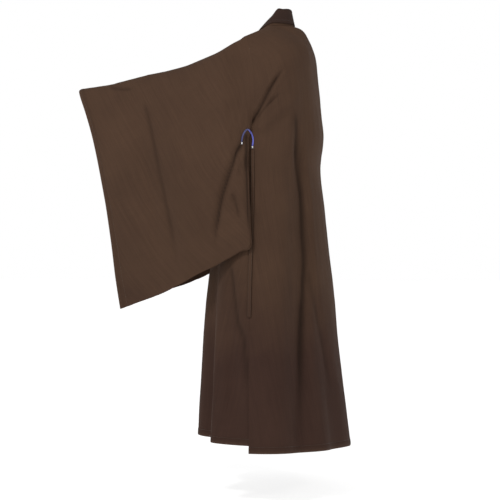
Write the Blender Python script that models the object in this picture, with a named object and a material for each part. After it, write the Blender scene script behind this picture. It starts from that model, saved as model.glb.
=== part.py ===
"""A worn monk's robe with very wide sleeves, as cloth walls around nobody.

Metres, +Z up. The wearer faces -Y with both arms straight forward, and +X is the wearer's left.
The origin is the centre of the neck base, at the height of the collar seam, where the wearer
carries the robe.
"""

import bpy
import numpy as np
from mathutils import Vector
from mathutils.bvhtree import BVHTree

CLOTH = 0.0015
SEAM_PULL = 0.00015
ARMPIT_PULL = (0.0004, 0.0009, 0.0014, 0.0009, 0.0004)
COLLAR_PULL = 0.0007
COLLAR_COLUMNS = (0.0, 0.12, 0.36, 0.62, 0.82, 1.0)
LAYER_STEP = 0.0068
LAYER_STEP_HEM = 0.0095
COLLAR_WIDTH = 0.058
COLLAR_WALL = 0.0024
GUARD_WALL = 0.001
GUARD_GAP = 0.0013
NECK_SHARE = 0.30
ARMHOLE_STATIONS = (0.0, 0.15, 0.32, 0.52, 0.74, 1.0, 1.3, 1.65, 2.0, 2.4, 2.8, 3.2, 3.6, 4.0)
ARMHOLE_STEPS = len(ARMHOLE_STATIONS) - 1
SKIRT_STEPS = 20
ARMPIT_STATION = 4.0
HEM_STATION = 11.0
SLIT_TOP = 9.0

# Station, centre y and z, then side x, y and z, then how square the quarter turn between them is.
BACK_ROWS = (
    (1, 0.111, -0.052, 0.203, -0.040, -0.112, 2.3),
    (2, 0.131, -0.170, 0.234, -0.028, -0.205, 2.5),
    (3, 0.140, -0.262, 0.243, -0.030, -0.280, 2.5),
    (4, 0.148, -0.338, 0.240, -0.040, -0.338, 2.4),
    (5, 0.138, -0.430, 0.240, -0.037, -0.430, 2.3),
    (6, 0.150, -0.550, 0.245, -0.034, -0.550, 2.2),
    (7, 0.165, -0.690, 0.262, -0.032, -0.690, 2.1),
    (8, 0.180, -0.820, 0.281, -0.030, -0.820, 2.1),
    (9, 0.194, -0.980, 0.300, -0.028, -0.975, 2.1),
    (10, 0.211, -1.130, 0.318, -0.026, -1.122, 2.1),
    (11, 0.230, -1.295, 0.335, -0.024, -1.280, 2.1),
)
FRONT_ROWS = (
    (1, -0.106, -0.092, 0.142, -0.116, -0.100, 2.2),
    (2, -0.134, -0.175, 0.152, -0.142, -0.180, 2.4),
    (3, -0.146, -0.260, 0.192, -0.112, -0.262, 2.4),
    (4, -0.150, -0.338, 0.240, -0.040, -0.338, 2.4),
    (5, -0.157, -0.430, 0.240, -0.037, -0.430, 2.3),
    (6, -0.170, -0.550, 0.245, -0.034, -0.550, 2.2),
    (7, -0.183, -0.685, 0.262, -0.032, -0.690, 2.1),
    (8, -0.197, -0.812, 0.281, -0.030, -0.820, 2.1),
    (9, -0.205, -0.965, 0.300, -0.028, -0.975, 2.1),
    (10, -0.209, -1.104, 0.317, -0.026, -1.110, 2.1),
    (11, -0.213, -1.247, 0.333, -0.024, -1.258, 2.1),
)
NECK = {"side_x": 0.072, "back_y": 0.062, "front_y": -0.060, "front_drop": 0.022}
ARMHOLE_TOP = (0.175, -0.060, -0.046)

# A fold's place is counted in quarter turns from the left side seam, to the back as +, to the
# front as -. Each step down it: z, place, half width in quarter turns, height (a trough is -).
FOLDS = {
    "left back deep trough": ((-0.16, 0.52, 0.12, 0.0), (-0.34, 0.52, 0.13, -0.010),
                              (-0.60, 0.48, 0.13, -0.020), (-0.90, 0.42, 0.13, -0.030),
                              (-1.30, 0.38, 0.13, -0.036)),
    "left back ridge": ((-0.50, 0.16, 0.16, 0.0), (-0.90, 0.16, 0.16, 0.010),
                        (-1.30, 0.16, 0.16, 0.016)),
    "left back diagonal": ((-0.70, 0.56, 0.09, 0.0), (-0.95, 0.66, 0.11, -0.012),
                           (-1.30, 0.74, 0.12, -0.020)),
    "left front side trough": ((-0.68, -0.30, 0.07, 0.0), (-0.85, -0.22, 0.08, -0.008),
                               (-1.30, -0.07, 0.09, -0.013)),
    "left front ridge": ((-0.70, -0.36, 0.10, 0.0), (-0.95, -0.33, 0.10, 0.012),
                         (-1.30, -0.30, 0.10, 0.020)),
    "left front notch": ((-0.60, -0.48, 0.09, 0.0), (-0.82, -0.48, 0.10, -0.018),
                         (-1.30, -0.47, 0.10, -0.055)),
    "front left lap": ((-0.50, -0.72, 0.12, 0.0), (-0.90, -0.70, 0.12, 0.010),
                       (-1.30, -0.68, 0.12, 0.020)),
    "front middle trough": ((-0.42, -1.06, 0.12, 0.0), (-0.80, -1.04, 0.12, -0.012),
                            (-1.30, -0.96, 0.13, -0.028)),
    "front right lap": ((-0.46, -1.30, 0.12, 0.0), (-0.85, -1.26, 0.12, 0.009),
                        (-1.30, -1.22, 0.12, 0.018)),
    "front right trough": ((-0.50, -1.60, 0.10, 0.0), (-0.85, -1.55, 0.11, -0.014),
                           (-1.30, -1.48, 0.12, -0.034)),
    "right side ridge": ((-0.56, 1.86, 0.14, 0.0), (-0.90, 1.84, 0.14, 0.008),
                         (-1.30, 1.83, 0.14, 0.014)),
    "right back trough": ((-0.22, 1.50, 0.12, 0.0), (-0.42, 1.50, 0.12, -0.008),
                          (-0.85, 1.55, 0.12, -0.020), (-1.30, 1.60, 0.12, -0.034)),
    "back middle ridge": ((-0.45, 0.96, 0.16, 0.0), (-0.90, 1.02, 0.16, 0.003),
                          (-1.30, 1.04, 0.16, 0.006)),
    "back right trough": ((-0.60, 1.22, 0.10, 0.0), (-0.95, 1.24, 0.11, -0.010),
                          (-1.30, 1.27, 0.12, -0.022)),
}

# Where the free edge of a front runs: station, then its place from the robe's own side (1) over
# the middle (0) towards the other side (-1).
FRONT_EDGE = (
    (0.0, NECK_SHARE), (0.5, 0.255), (1.0, 0.165), (1.5, 0.045), (2.0, -0.090), (3.0, -0.330),
    (4.0, -0.520), (5.0, -0.700), (6.0, -0.830), (7.0, -0.885), (8.0, -0.905), (11.0, -0.915),
)
INNER_EDGE_SHARE = 0.90

# From the collar's seam to its free edge on the left front: station, then the offset in x, y, z.
# Below the last of these stations the collar lies on the chest.
COLLAR_STAND = (
    (0.0, -0.010, 0.014, 0.050),
    (0.31, -0.019, 0.024, 0.032),
    (0.62, -0.034, 0.017, 0.034),
    (0.92, -0.044, 0.010, 0.033),
    (1.23, -0.050, 0.005, 0.028),
)
# How much further in the right front's collar stands, by station, to pass under the left's.
COLLAR_UNDER = ((0.0, 0.0), (0.31, 0.008), (0.62, 0.018), (0.92, 0.020), (1.23, 0.015), (1.6, 0.010))
COLLAR_BACK = (0.0, -0.0080, 0.056)
COLLAR_LAYS_FROM = 1.5
COLLAR_ROWS_LEFT = 17
COLLAR_ROWS_RIGHT = 14
GUARD_ROWS = 7

# Strips, seen from the side as y, z of their middle. The blue arch starts on the back panel.
ARCH = (
    (-0.0294, -0.382), (-0.0278, -0.372), (-0.0276, -0.362), (-0.0300, -0.351), (-0.0350, -0.341),
    (-0.0415, -0.3345), (-0.0480, -0.340), (-0.0535, -0.350), (-0.0570, -0.361), (-0.0578, -0.371),
)
ARCH_WIDTH = 0.0055
STRIP_WALL = 0.0012
TIE_WIDTH = 0.011
LONG_TIE = (
    (-0.0295, -0.3925), (-0.0290, -0.43), (-0.0285, -0.48), (-0.0285, -0.53), (-0.0285, -0.58),
    (-0.0290, -0.63), (-0.0290, -0.68), (-0.0295, -0.73), (-0.0295, -0.78), (-0.0300, -0.83),
    (-0.0300, -0.860), (-0.0300, -0.888),
)
CLOSING_TIE_FRONT = (
    (-0.0985, -0.476), (-0.0930, -0.4795), (-0.0870, -0.486), (-0.0835, -0.497), (-0.0810, -0.53),
    (-0.0730, -0.58), (-0.0680, -0.63), (-0.0650, -0.68), (-0.0630, -0.715),
)
CLOSING_TIE_SIDE = (
    (-0.0500, -0.473), (-0.0590, -0.4765), (-0.0655, -0.484), (-0.0690, -0.497), (-0.0675, -0.53),
    (-0.0595, -0.58), (-0.0545, -0.63), (-0.0510, -0.69), (-0.0490, -0.745),
)
CLOSING_KNOT = (-0.0763, -0.497)

# Along the arm: x, y, z of the top of the sleeve, then the radius that the cloth turns over.
SLEEVE_TOP = (
    (0.175, -0.060, -0.046, 0.052),
    (0.172, -0.100, -0.066, 0.054),
    (0.167, -0.168, -0.101, 0.056),
    (0.152, -0.272, -0.135, 0.054),
    (0.132, -0.377, -0.152, 0.050),
    (0.110, -0.484, -0.1735, 0.046),
    (0.088, -0.585, -0.184, 0.041),
    (0.084, -0.606, -0.190, 0.040),
)
# Down the rear seam from the armpit to the corner, then forward along the bottom of the bag.
SLEEVE_FOOT = (
    (0.240, -0.040, -0.338),
    (0.252, -0.039, -0.405),
    (0.262, -0.036, -0.490),
    (0.271, -0.032, -0.590),
    (0.279, -0.030, -0.678),
    (0.262, -0.117, -0.726),
    (0.238, -0.196, -0.763),
    (0.196, -0.300, -0.815),
    (0.160, -0.380, -0.844),
    (0.126, -0.464, -0.871),
)
# Which place along the top line goes with which place along the foot line, ring by ring.
SLEEVE_RINGS = (
    (0.0, 0.0), (0.3, 0.3), (0.6, 0.7), (0.9, 1.25), (1.15, 1.9), (1.38, 2.6), (1.6, 3.3), (1.85, 4.0),
    (2.05, 4.3), (2.3, 4.6), (2.6, 5.0), (2.9, 5.4), (3.25, 5.8), (3.6, 6.2), (4.0, 6.65),
    (4.4, 7.05), (4.8, 7.4), (5.2, 7.75), (5.6, 8.1), (6.0, 8.45), (6.5, 8.75), (7.0, 9.0),
)
CUFF_BOW = 0.027
BAG_GAP = 0.017
RIGHT_BAG_RISE = 0.024
REAR_SEAM_Y = -0.036

# A sleeve's folds, seen from the side. Each step: y, z, half width, height.
SLEEVE_FOLDS = {
    "armpit drape": ((-0.060, -0.375, 0.020, -0.004), (-0.090, -0.430, 0.024, -0.009),
                     (-0.125, -0.525, 0.028, -0.011), (-0.142, -0.610, 0.032, -0.008),
                     (-0.150, -0.700, 0.036, -0.003)),
    "behind the drape": ((-0.085, -0.520, 0.014, -0.002), (-0.070, -0.560, 0.015, -0.005),
                         (-0.058, -0.610, 0.016, -0.002)),
    "front pleat": ((-0.385, -0.245, 0.020, -0.002), (-0.368, -0.335, 0.026, -0.006),
                    (-0.350, -0.430, 0.028, -0.007), (-0.318, -0.575, 0.030, -0.007),
                    (-0.292, -0.680, 0.032, -0.006), (-0.284, -0.750, 0.034, -0.003)),
    "rise before it": ((-0.470, -0.300, 0.060, 0.002), (-0.440, -0.450, 0.070, 0.006),
                       (-0.400, -0.640, 0.070, 0.006), (-0.380, -0.800, 0.070, 0.003)),
    "rise behind it": ((-0.250, -0.300, 0.055, 0.002), (-0.235, -0.450, 0.060, 0.006),
                       (-0.215, -0.600, 0.055, 0.006), (-0.210, -0.720, 0.050, 0.002)),
}

COLOURS = {"robe": (0.072, 0.042, 0.030), "dark": (0.026, 0.017, 0.014),
           "blue": (0.090, 0.095, 0.560), "white": (0.800, 0.800, 0.820)}


def smooth(knots, values, at):
    """A curve through values at knots, with the slope at each knot taken from both neighbours."""
    knots = np.asarray(knots, float)
    values = np.asarray(values, float)
    at = np.atleast_1d(np.asarray(at, float))
    slopes = np.gradient(values, knots, axis=0)
    i = np.clip(np.searchsorted(knots, at, side="right") - 1, 0, len(knots) - 2)
    step = knots[i + 1] - knots[i]
    u = np.clip((at - knots[i]) / step, 0.0, 1.0)
    shape = (-1,) + (1,) * (values.ndim - 1)
    u, step = u.reshape(shape), step.reshape(shape)
    return ((2 * u**3 - 3 * u**2 + 1) * values[i] + (u**3 - 2 * u**2 + u) * step * slopes[i]
            + (3 * u**2 - 2 * u**3) * values[i + 1] + (u**3 - u**2) * step * slopes[i + 1])


def ease(x):
    """0 to 1 with flat ends."""
    x = np.clip(x, 0.0, 1.0)
    return x * x * (3 - 2 * x)


def unit(vectors):
    return vectors / np.maximum(np.linalg.norm(vectors, axis=-1, keepdims=True), 1e-12)


def quarter(row, share):
    """Points of one row from the centre (0) to the side (1), even along the cloth."""
    station, centre_y, centre_z, side_x, side_y, side_z, square = row
    turn = np.linspace(0.0, np.pi / 2, 241)
    x = side_x * np.sin(turn) ** (2 / square)
    y = side_y + (centre_y - side_y) * np.cos(turn) ** (2 / square)
    length = np.concatenate([[0.0], np.cumsum(np.hypot(np.diff(x), np.diff(y)))])
    at = share * length[-1]
    z = centre_z + (side_z - centre_z) * (share**2 if station < 4 else share * (2 - share))
    return np.stack([np.interp(at, length, x), np.interp(at, length, y), z], axis=-1)


def neck_row(share, front):
    """The top row: round the neck base, then out along the shoulder to the armhole."""
    turn = np.clip(share / NECK_SHARE, 0.0, 1.0) * np.pi / 2
    deep = NECK["front_y"] if front else NECK["back_y"]
    drop = NECK["front_drop"] * np.cos(turn) if front else 0.0 * turn
    ring = np.stack([NECK["side_x"] * np.sin(turn), deep * np.cos(turn), -drop], axis=-1)
    out = np.clip((share - NECK_SHARE) / (1 - NECK_SHARE), 0.0, 1.0)[:, None]
    side = np.array([NECK["side_x"], 0.0, 0.0])
    return np.where(out > 0, side + out * (np.array(ARMHOLE_TOP) - side), ring)


def fold_height(place, z):
    """How far the folds move the cloth out at a place round the body and a height."""
    total = np.zeros(np.shape(place))
    for steps in FOLDS.values():
        steps = np.array(steps)[::-1]
        middle, wide, high = (np.interp(z, steps[:, 0], steps[:, k]) for k in (1, 2, 3))
        high = np.where(z > steps[-1, 0], 0.0, high)
        off = (place - middle + 2.0) % 4.0 - 2.0
        total = total + high * np.exp(-((off / wide) ** 2))
    return total


def body(place, station):
    """The robe's surface: place in quarter turns from the left side seam, and station down it.

    Above the armpit the back (place 0 to 2) and the front (place 0 to -2) part at the armhole.
    """
    place = np.asarray(place, float)
    front = place < 0
    if front.any() and not front.all():
        raise ValueError("one call is for the back or for the front")
    front = bool(front.any())
    side = np.where(np.abs(place) > 1, -1.0, 1.0)
    share = np.abs(1.0 - np.abs(place))
    rows = [quarter(row, share) for row in (FRONT_ROWS if front else BACK_ROWS)]
    other = [quarter(row, share) for row in (BACK_ROWS if front else FRONT_ROWS)]
    knots = np.array([-1.15, 0.0] + [row[0] for row in BACK_ROWS])
    columns = np.stack([other[0], neck_row(share, front)] + rows)
    gaps = np.linalg.norm(np.diff(columns, axis=0), axis=-1).mean(axis=1)
    length = np.concatenate([[0.0], np.cumsum(gaps)])
    points = smooth(length, columns, np.interp(station, knots, length))
    points[..., 0] *= side
    return points


def outward_normals(points, around=False):
    """Unit normals of a grid of points, turned away from the middle of what it goes round."""
    if around:
        wrapped = np.concatenate([points[:, -1:], points, points[:, :1]], axis=1)
        across = wrapped[:, 2:] - wrapped[:, :-2]
        middle = points.mean(axis=1, keepdims=True)
    else:
        across = np.gradient(points, axis=1)
        middle = points * np.array([0.0, 0.0, 1.0]) + np.array([0.0, -0.03, -0.05])
    normals = unit(np.cross(np.gradient(points, axis=0), across))
    return normals if (normals * (points - middle)).sum() > 0 else -normals


def stations():
    """Stations down the robe. Those to the armpit are shared with the sleeve."""
    upper = np.array(ARMHOLE_STATIONS)
    lower = np.linspace(ARMPIT_STATION, HEM_STATION, SKIRT_STEPS + 1)
    return np.concatenate([upper, lower[1:]])


def folded(place, station_list, lift=None):
    """A panel's grid with its folds: rows go down, columns go round."""
    rows = [body(line, np.array([station]))[0] for line, station in zip(place, station_list)]
    flat = np.stack(rows)
    high = fold_height(place, flat[..., 2])
    if lift is not None:
        high = high + lift
    return flat + outward_normals(flat) * high[..., None]


def back_grid():
    levels = stations()
    out = np.linspace(NECK_SHARE, 1.0, 12)
    share = np.concatenate([-out[::-1], np.linspace(-NECK_SHARE, NECK_SHARE, 9)[1:-1], out])
    place = np.repeat(np.clip(1.0 - share, 0.0, 2.0)[None, ::-1], len(levels), axis=0)
    open_side = ease((levels - SLIT_TOP) / 1.2)[:, None]
    lift = 0.0062 * open_side * (np.exp(-((place / 0.10) ** 2)) + np.exp(-(((2 - place) / 0.10) ** 2)))
    return folded(place, levels, lift), 1.0 - place[0]


def front_edge(level, share):
    knots = [k for k, _ in FRONT_EDGE]
    edge = smooth(knots, [v for _, v in FRONT_EDGE], level)[0]
    return np.where(edge < 0, edge * share, edge)


def layer_step(level):
    """The distance from the right front out to the left front that covers it."""
    low = ease((level - 5.0) / 5.0)
    return (LAYER_STEP + (LAYER_STEP_HEM - LAYER_STEP) * low) * ease(level / 0.8)


def layer(place, level):
    """How far out of the plain surface the left front lies."""
    return layer_step(level) * ease((-place - 0.85) / 0.75)


def front_grid(left, columns):
    levels = stations()
    grid = []
    for level in levels:
        edge = float(front_edge(level, 1.0 if left else INNER_EDGE_SHARE))
        share = np.linspace(1.0, edge, columns)
        share = np.sign(share) * np.abs(share)
        grid.append(-(1.0 - share) if left else -(1.0 + share))
    place = np.array(grid)
    place = np.clip(place, -2.0, -1e-9)
    lift = np.array([layer(line, level) for line, level in zip(place, levels)])
    if not left:
        lift = lift - layer_step(levels)[:, None]
    open_side = ease((levels - SLIT_TOP) / 1.2)[:, None]
    lift = lift - 0.0040 * open_side * (np.exp(-((place / 0.10) ** 2)) if left
                                        else np.exp(-(((2 + place) / 0.10) ** 2)))
    return folded(place, levels, lift), np.abs(1.0 + place[0])


def body_half_width(y, z):
    """x that cloth outside the robe's front must keep beyond at y and z, without folds."""
    rows = np.array(FRONT_ROWS)[::-1]
    centre, wide, middle, square = (np.interp(z, rows[:, 2], rows[:, k]) for k in (1, 3, 4, 6))
    depth = np.minimum(centre - middle, -0.004)
    off = np.clip((y - middle) / depth, 0.0, 1.0)
    return np.where(z > -0.090, 0.0, wide * (1 - off**square) ** (1 / square))


def sleeve_fold_height(y, z):
    total = np.zeros(np.shape(y))
    for steps in SLEEVE_FOLDS.values():
        steps = np.array(steps)[np.argsort(np.array(steps)[:, 1])]
        middle, wide, high = (np.interp(z, steps[:, 1], steps[:, k]) for k in (0, 2, 3))
        reach = ease((z - steps[0, 1] + 0.05) / 0.05) * ease((steps[-1, 1] + 0.05 - z) / 0.05)
        total = total + high * reach * np.exp(-(((y - middle) / wide) ** 2))
    return total


def ring_line(depth_steps, top, foot, radius, share):
    """One ring of the sleeve without its armhole end: outer points from top to foot, and inner."""
    span = np.linalg.norm((foot - top)[1:])
    down = (foot - top) / span
    turn = np.radians([0.0, 38.0, 66.0, 90.0])
    depth = radius * (1 - np.cos(turn))
    half = radius * np.sin(turn)
    low = max(span - 0.012, radius + 0.02)
    middle = radius + (low - radius) * np.linspace(0.0, 1.0, depth_steps - 3)[1:] ** 1.15
    narrow = BAG_GAP + (radius - BAG_GAP) * np.exp(-(((middle - radius) / 0.13) ** 2))
    narrow = narrow * ease((span - middle) / 0.110 + 0.12) ** 0.7
    depth = np.concatenate([depth, middle, [span]])
    half = np.concatenate([half, narrow, [0.0]])
    along = depth / span
    y = top[1] + (foot[1] - top[1]) * along
    z = top[2] + (foot[2] - top[2]) * along
    y = y + CUFF_BOW * ease(share) * np.sin(np.pi * along**0.75)
    x = top[0] + (foot[0] - top[0]) * ease(depth / min(0.30, span))
    return np.stack([x + half, y, z], axis=-1), np.stack([x - half, y, z], axis=-1)


def surface_tree(grids):
    """The panels' outer faces as one tree that rays can be cast at."""
    verts, faces = [], []
    for grid in grids:
        first = len(verts)
        verts += [Vector(p) for p in grid.reshape(-1, 3)]
        faces += [tuple(first + i for i in face) for face in triangles(*grid.shape[:2], False)]
    return BVHTree.FromPolygons(verts, faces)


def side_x(tree, y, z):
    """x of the outermost cloth on the left at y and z, or None."""
    hit = tree.ray_cast(Vector((1.0, y, z)), Vector((-1.0, 0.0, 0.0)))[0]
    return hit.x if hit is not None and hit.x > 0 else None


def even_out(grid, turns=400):
    """Moves the points inside a grid's four edges, seen from the side, until its lines don't cross."""
    grid = grid.copy()
    for _ in range(turns):
        down = (grid[2:, 1:-1] - grid[:-2, 1:-1])[..., 1:] / 2
        along = (grid[1:-1, 2:] - grid[1:-1, :-2])[..., 1:] / 2
        dd = (down * down).sum(axis=-1, keepdims=True)
        aa = (along * along).sum(axis=-1, keepdims=True)
        da = (down * along).sum(axis=-1, keepdims=True)
        corners = (grid[2:, 2:] - grid[2:, :-2] - grid[:-2, 2:] + grid[:-2, :-2]) / 4
        grid[1:-1, 1:-1] = (aa * (grid[2:, 1:-1] + grid[:-2, 1:-1]) - 2 * da * corners
                            + dd * (grid[1:-1, 2:] + grid[1:-1, :-2])) / (2 * (aa + dd))
    return grid


def ring_of(a, b, rise):
    """One ring of the left sleeve before it is drawn to the armhole: outside down, inside up."""
    tops = np.array(SLEEVE_TOP)
    feet = np.array(SLEEVE_FOOT)
    top = smooth(range(len(tops)), tops, a)[0]
    foot = smooth(range(len(feet)), feet, b)[0]
    if 3 <= b <= 5:
        k = min(int(b), 4)
        foot = feet[k] + (feet[k + 1] - feet[k]) * (b - k)
    foot[2] += rise * ease(b / 4.0)
    outer, inner = ring_line(ARMHOLE_STEPS, top[:3], foot, top[3], a / SLEEVE_RINGS[-1][0])
    middle = (outer[:, 0] + inner[:, 0]) / 2
    wide = outer[:, 0] - middle
    thin = ease((-0.290 - outer[:, 2]) / 0.08) * (1 - ease((REAR_SEAM_Y - outer[:, 1]) / 0.115))
    wide = wide * (1 - thin) + np.minimum(wide, 0.0045) * thin
    outer[:, 0] = middle + wide
    inner[:, 0] = middle - wide
    return np.concatenate([outer, inner[-2:0:-1]])


def sleeve_grid(armhole, robe_tree, rise=0.0):
    """The left sleeve, ring by ring from the armhole to the cuff, each ring down the outside."""
    rings = np.stack([ring_of(a, b, rise) for a, b in SLEEVE_RINGS])
    start = armhole - rings[0]
    half = ARMHOLE_STEPS
    inside = np.arange(2 * half) > half + 1
    down = np.array(SLEEVE_RINGS)[:, 1]
    fade = np.where(inside, 1 - ease(down[:, None] / 5.7), 1 - ease(down[:, None] / 4.0))
    rings += start * fade[..., None]
    inner = np.concatenate([rings[:, half + 1:], rings[:, :1]], axis=1)
    reach = int(np.searchsorted(down, 5.7)) + 1
    inner[:reach] = even_out(inner[:reach])
    rings[:, half + 1:] = inner[:, :-1]
    for number in range(1, len(rings)):
        x, y, z = rings[number].T
        clear = 0.0122 * min(down[number] / 1.5, 1.0) ** 0.6
        low = body_half_width(y, z) + clear
        for i in range(half, 2 * half):
            robe_x = side_x(robe_tree, y[i], z[i])
            x[i] = max(x[i], low[i], -1.0 if robe_x is None else robe_x + clear)
    lining = surface_tree([np.concatenate([rings[:, half:], rings[:, :1]], axis=1)])
    for number in range(1, len(rings)):
        for i in range(1, half):
            x, y, z = rings[number, i]
            inner_x = side_x(lining, y, z)
            rings[number, i, 0] = max(x, -1.0 if inner_x is None else inner_x + 0.0075)
    high = sleeve_fold_height(rings[..., 1], rings[..., 2])
    fade = ease(np.array(SLEEVE_RINGS)[:, 1:] / 2.6)
    edge = np.ones(rings.shape[1])
    edge[[0, half]] = 0.0
    edge[[1, half - 1, half + 1, -1]] = 0.5
    high = high * fade * edge
    high[:, half:] *= -0.7
    return rings + outward_normals(rings, around=True) * high[..., None]


def mitre(*edges):
    """Gives the points that edges share one normal each. An edge is a panel's normals and an index."""
    total = unit(sum(normals[index] for normals, index in edges))
    for normals, index in edges:
        normals[index] = total


def mitre_hollow(front, sleeve, front_points, sleeve_points, rows):
    """The same along the front of the armhole, but not where the two fold towards each other."""
    into = unit(front_points[rows, 1] - front_points[rows, 0])
    own = sleeve[0, :ARMHOLE_STEPS:-1]
    facing = ease((0.5 - (front[rows, 0] * own).sum(axis=1)) / 0.5)
    hollow = np.maximum(ease((into * own).sum(axis=1) / 0.25), facing)[:, None]
    both = unit(front[rows, 0] + own)
    front[rows, 0] = unit(front[rows, 0] * hollow + both * (1 - hollow))
    sleeve[0, :ARMHOLE_STEPS:-1] = unit(own * hollow + both * (1 - hollow))


def mitre_shoulder(back, back_share, front, front_share):
    """The same along the shoulder, where the columns of the two panels differ."""
    order = np.argsort(back_share)
    other = np.argsort(front_share)
    on_front = np.stack([np.interp(front_share, back_share[order], back[order, k]) for k in range(3)], -1)
    on_back = np.stack([np.interp(back_share, front_share[other], front[other, k]) for k in range(3)], -1)
    sewn = back_share >= NECK_SHARE - 1e-9
    back[sewn] = unit(back[sewn] + on_back[sewn])
    front[:] = unit(front + on_front)


def pull_edges(points, sides):
    """Moves the edges that are sewn back by half of the seam's gap."""
    points = points.copy()
    if "top" in sides:
        points[0] += unit(points[1] - points[0]) * SEAM_PULL
    if "start" in sides:
        points[:, 0] += unit(points[:, 1] - points[:, 0]) * SEAM_PULL
    if "end" in sides:
        points[:, -1] += unit(points[:, -2] - points[:, -1]) * SEAM_PULL
    return points


def pull_sleeve(points):
    """The same at the armhole, and a little more at the armpit, where three pieces meet."""
    points = points.copy()
    pull = np.full(points.shape[1], 3 * SEAM_PULL)
    pull[ARMHOLE_STEPS - 2:ARMHOLE_STEPS + 3] += ARMPIT_PULL
    along = unit(np.roll(points[0], -1, axis=0) - np.roll(points[0], 1, axis=0))
    away = points[2] - points[0]
    away -= along * (away * along).sum(axis=1, keepdims=True)
    points[0] += unit(away) * pull[:, None]
    return points


def triangles(rows, columns, around, other=()):
    """A grid's faces, each square cut from its first corner, or along the other way."""
    found = []
    for r in range(rows - 1):
        for c in range(columns if around else columns - 1):
            d = (c + 1) % columns
            near, far = r * columns, (r + 1) * columns
            if c in other:
                found += [(near + c, near + d, far + c), (near + d, far + d, far + c)]
            else:
                found += [(near + c, near + d, far + d), (near + c, far + d, far + c)]
    return found


def wall_mesh(name, points, normals, thick, colour, around=False):
    """A closed wall: the outer points, the same moved in, and the rims between them."""
    rows, columns = points.shape[:2]
    n = rows * columns
    verts = np.concatenate([points.reshape(-1, 3), (points - normals * thick).reshape(-1, 3)])
    faces = []
    for a, b, c in triangles(rows, columns, around):
        faces += [(a, b, c), (c + n, b + n, a + n)]
    if around:
        loops = [[c for c in range(columns)], [(rows - 1) * columns + c for c in range(columns)][::-1]]
    else:
        loops = [[c for c in range(columns)] + [r * columns + columns - 1 for r in range(1, rows)]
                 + [(rows - 1) * columns + c for c in range(columns - 2, -1, -1)]
                 + [r * columns for r in range(rows - 2, 0, -1)]]
    for loop in loops:
        for a, b in zip(loop, loop[1:] + loop[:1]):
            faces += [(b, a, a + n), (b, a + n, b + n)]
    a, b, c = (points[rows // 2 + i, columns // 2 + j] for i, j in ((0, 0), (0, 1), (1, 0)))
    if np.dot(np.cross(b - a, c - b), normals[rows // 2, columns // 2]) < 0:
        faces = [face[::-1] for face in faces]
    return make_object(name, verts, faces, colour)


def make_object(name, verts, faces, colour):
    mesh = bpy.data.meshes.new(name)
    mesh.from_pydata([tuple(v) for v in verts], [], faces)
    mesh.validate()
    obj = bpy.data.objects.new(name, mesh)
    bpy.data.collections["monk_robe"].objects.link(obj)
    mesh.shade_smooth()
    mesh.set_sharp_from_angle(angle=np.radians(55))
    material = bpy.data.materials.new(name)
    material.use_nodes = True
    shader = material.node_tree.nodes["Principled BSDF"]
    shader.inputs["Base Color"].default_value = (*COLOURS[colour], 1.0)
    shader.inputs["Roughness"].default_value = 0.9
    material.diffuse_color = (*COLOURS[colour], 1.0)
    mesh.materials.append(material)
    return obj


def tube_mesh(name, sections, colour, other=()):
    """A closed body through a list of rings of points, with a flat cap at each end."""
    sections = np.asarray(sections)
    rows, columns = sections.shape[:2]
    faces = triangles(rows, columns, True, other)
    faces.append(tuple(range(columns))[::-1])
    faces.append(tuple((rows - 1) * columns + c for c in range(columns)))
    verts = sections.reshape(-1, 3)
    middle = verts.mean(axis=0)
    volume = 0.0
    for face in faces:
        for i in range(1, len(face) - 1):
            a, b, c = verts[face[0]] - middle, verts[face[i]] - middle, verts[face[i + 1]] - middle
            volume += np.dot(a, np.cross(b, c))
    if volume < 0:
        faces = [face[::-1] for face in faces]
    return make_object(name, verts, faces, colour)


def lay_on(tree, point, normal, reach=0.08):
    """The point moved along the normal onto the cloth of the tree."""
    start = Vector(point + normal * reach)
    hit = tree.ray_cast(start, Vector(-normal), 2 * reach)[0]
    return np.array(hit) if hit is not None else point


def collar_side(edge, normals, skin, left):
    """The collar's points along one front: rows down its free edge, columns across the collar."""
    sign = 1.0 if left else -1.0
    levels = stations()[:len(edge)]
    run = unit(np.gradient(edge, axis=0))
    across = unit(np.cross(run, normals)) * sign
    across = across * np.where((across[:, :1] * sign) > 0, -1.0, 1.0)
    table = np.array(COLLAR_STAND)
    stand = smooth(table[:, 0], table[:, 1:], np.minimum(levels, table[-1, 0]))
    stand = stand * np.array([sign, 1.0, 1.0])
    if not left:
        stand[:, 1] += np.interp(levels, *zip(*COLLAR_UNDER))
    lies = ease((levels - 0.9) / (COLLAR_LAYS_FROM - 0.9))[:, None]
    grid = []
    for share in COLLAR_COLUMNS:
        standing = edge + stand * share
        flat = edge + across * COLLAR_WIDTH * share
        laid = np.stack([lay_on(skin, p, n) for p, n in zip(flat, normals)])
        grid.append(standing + (laid - standing) * lies)
    return np.stack(grid, axis=1)


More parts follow.
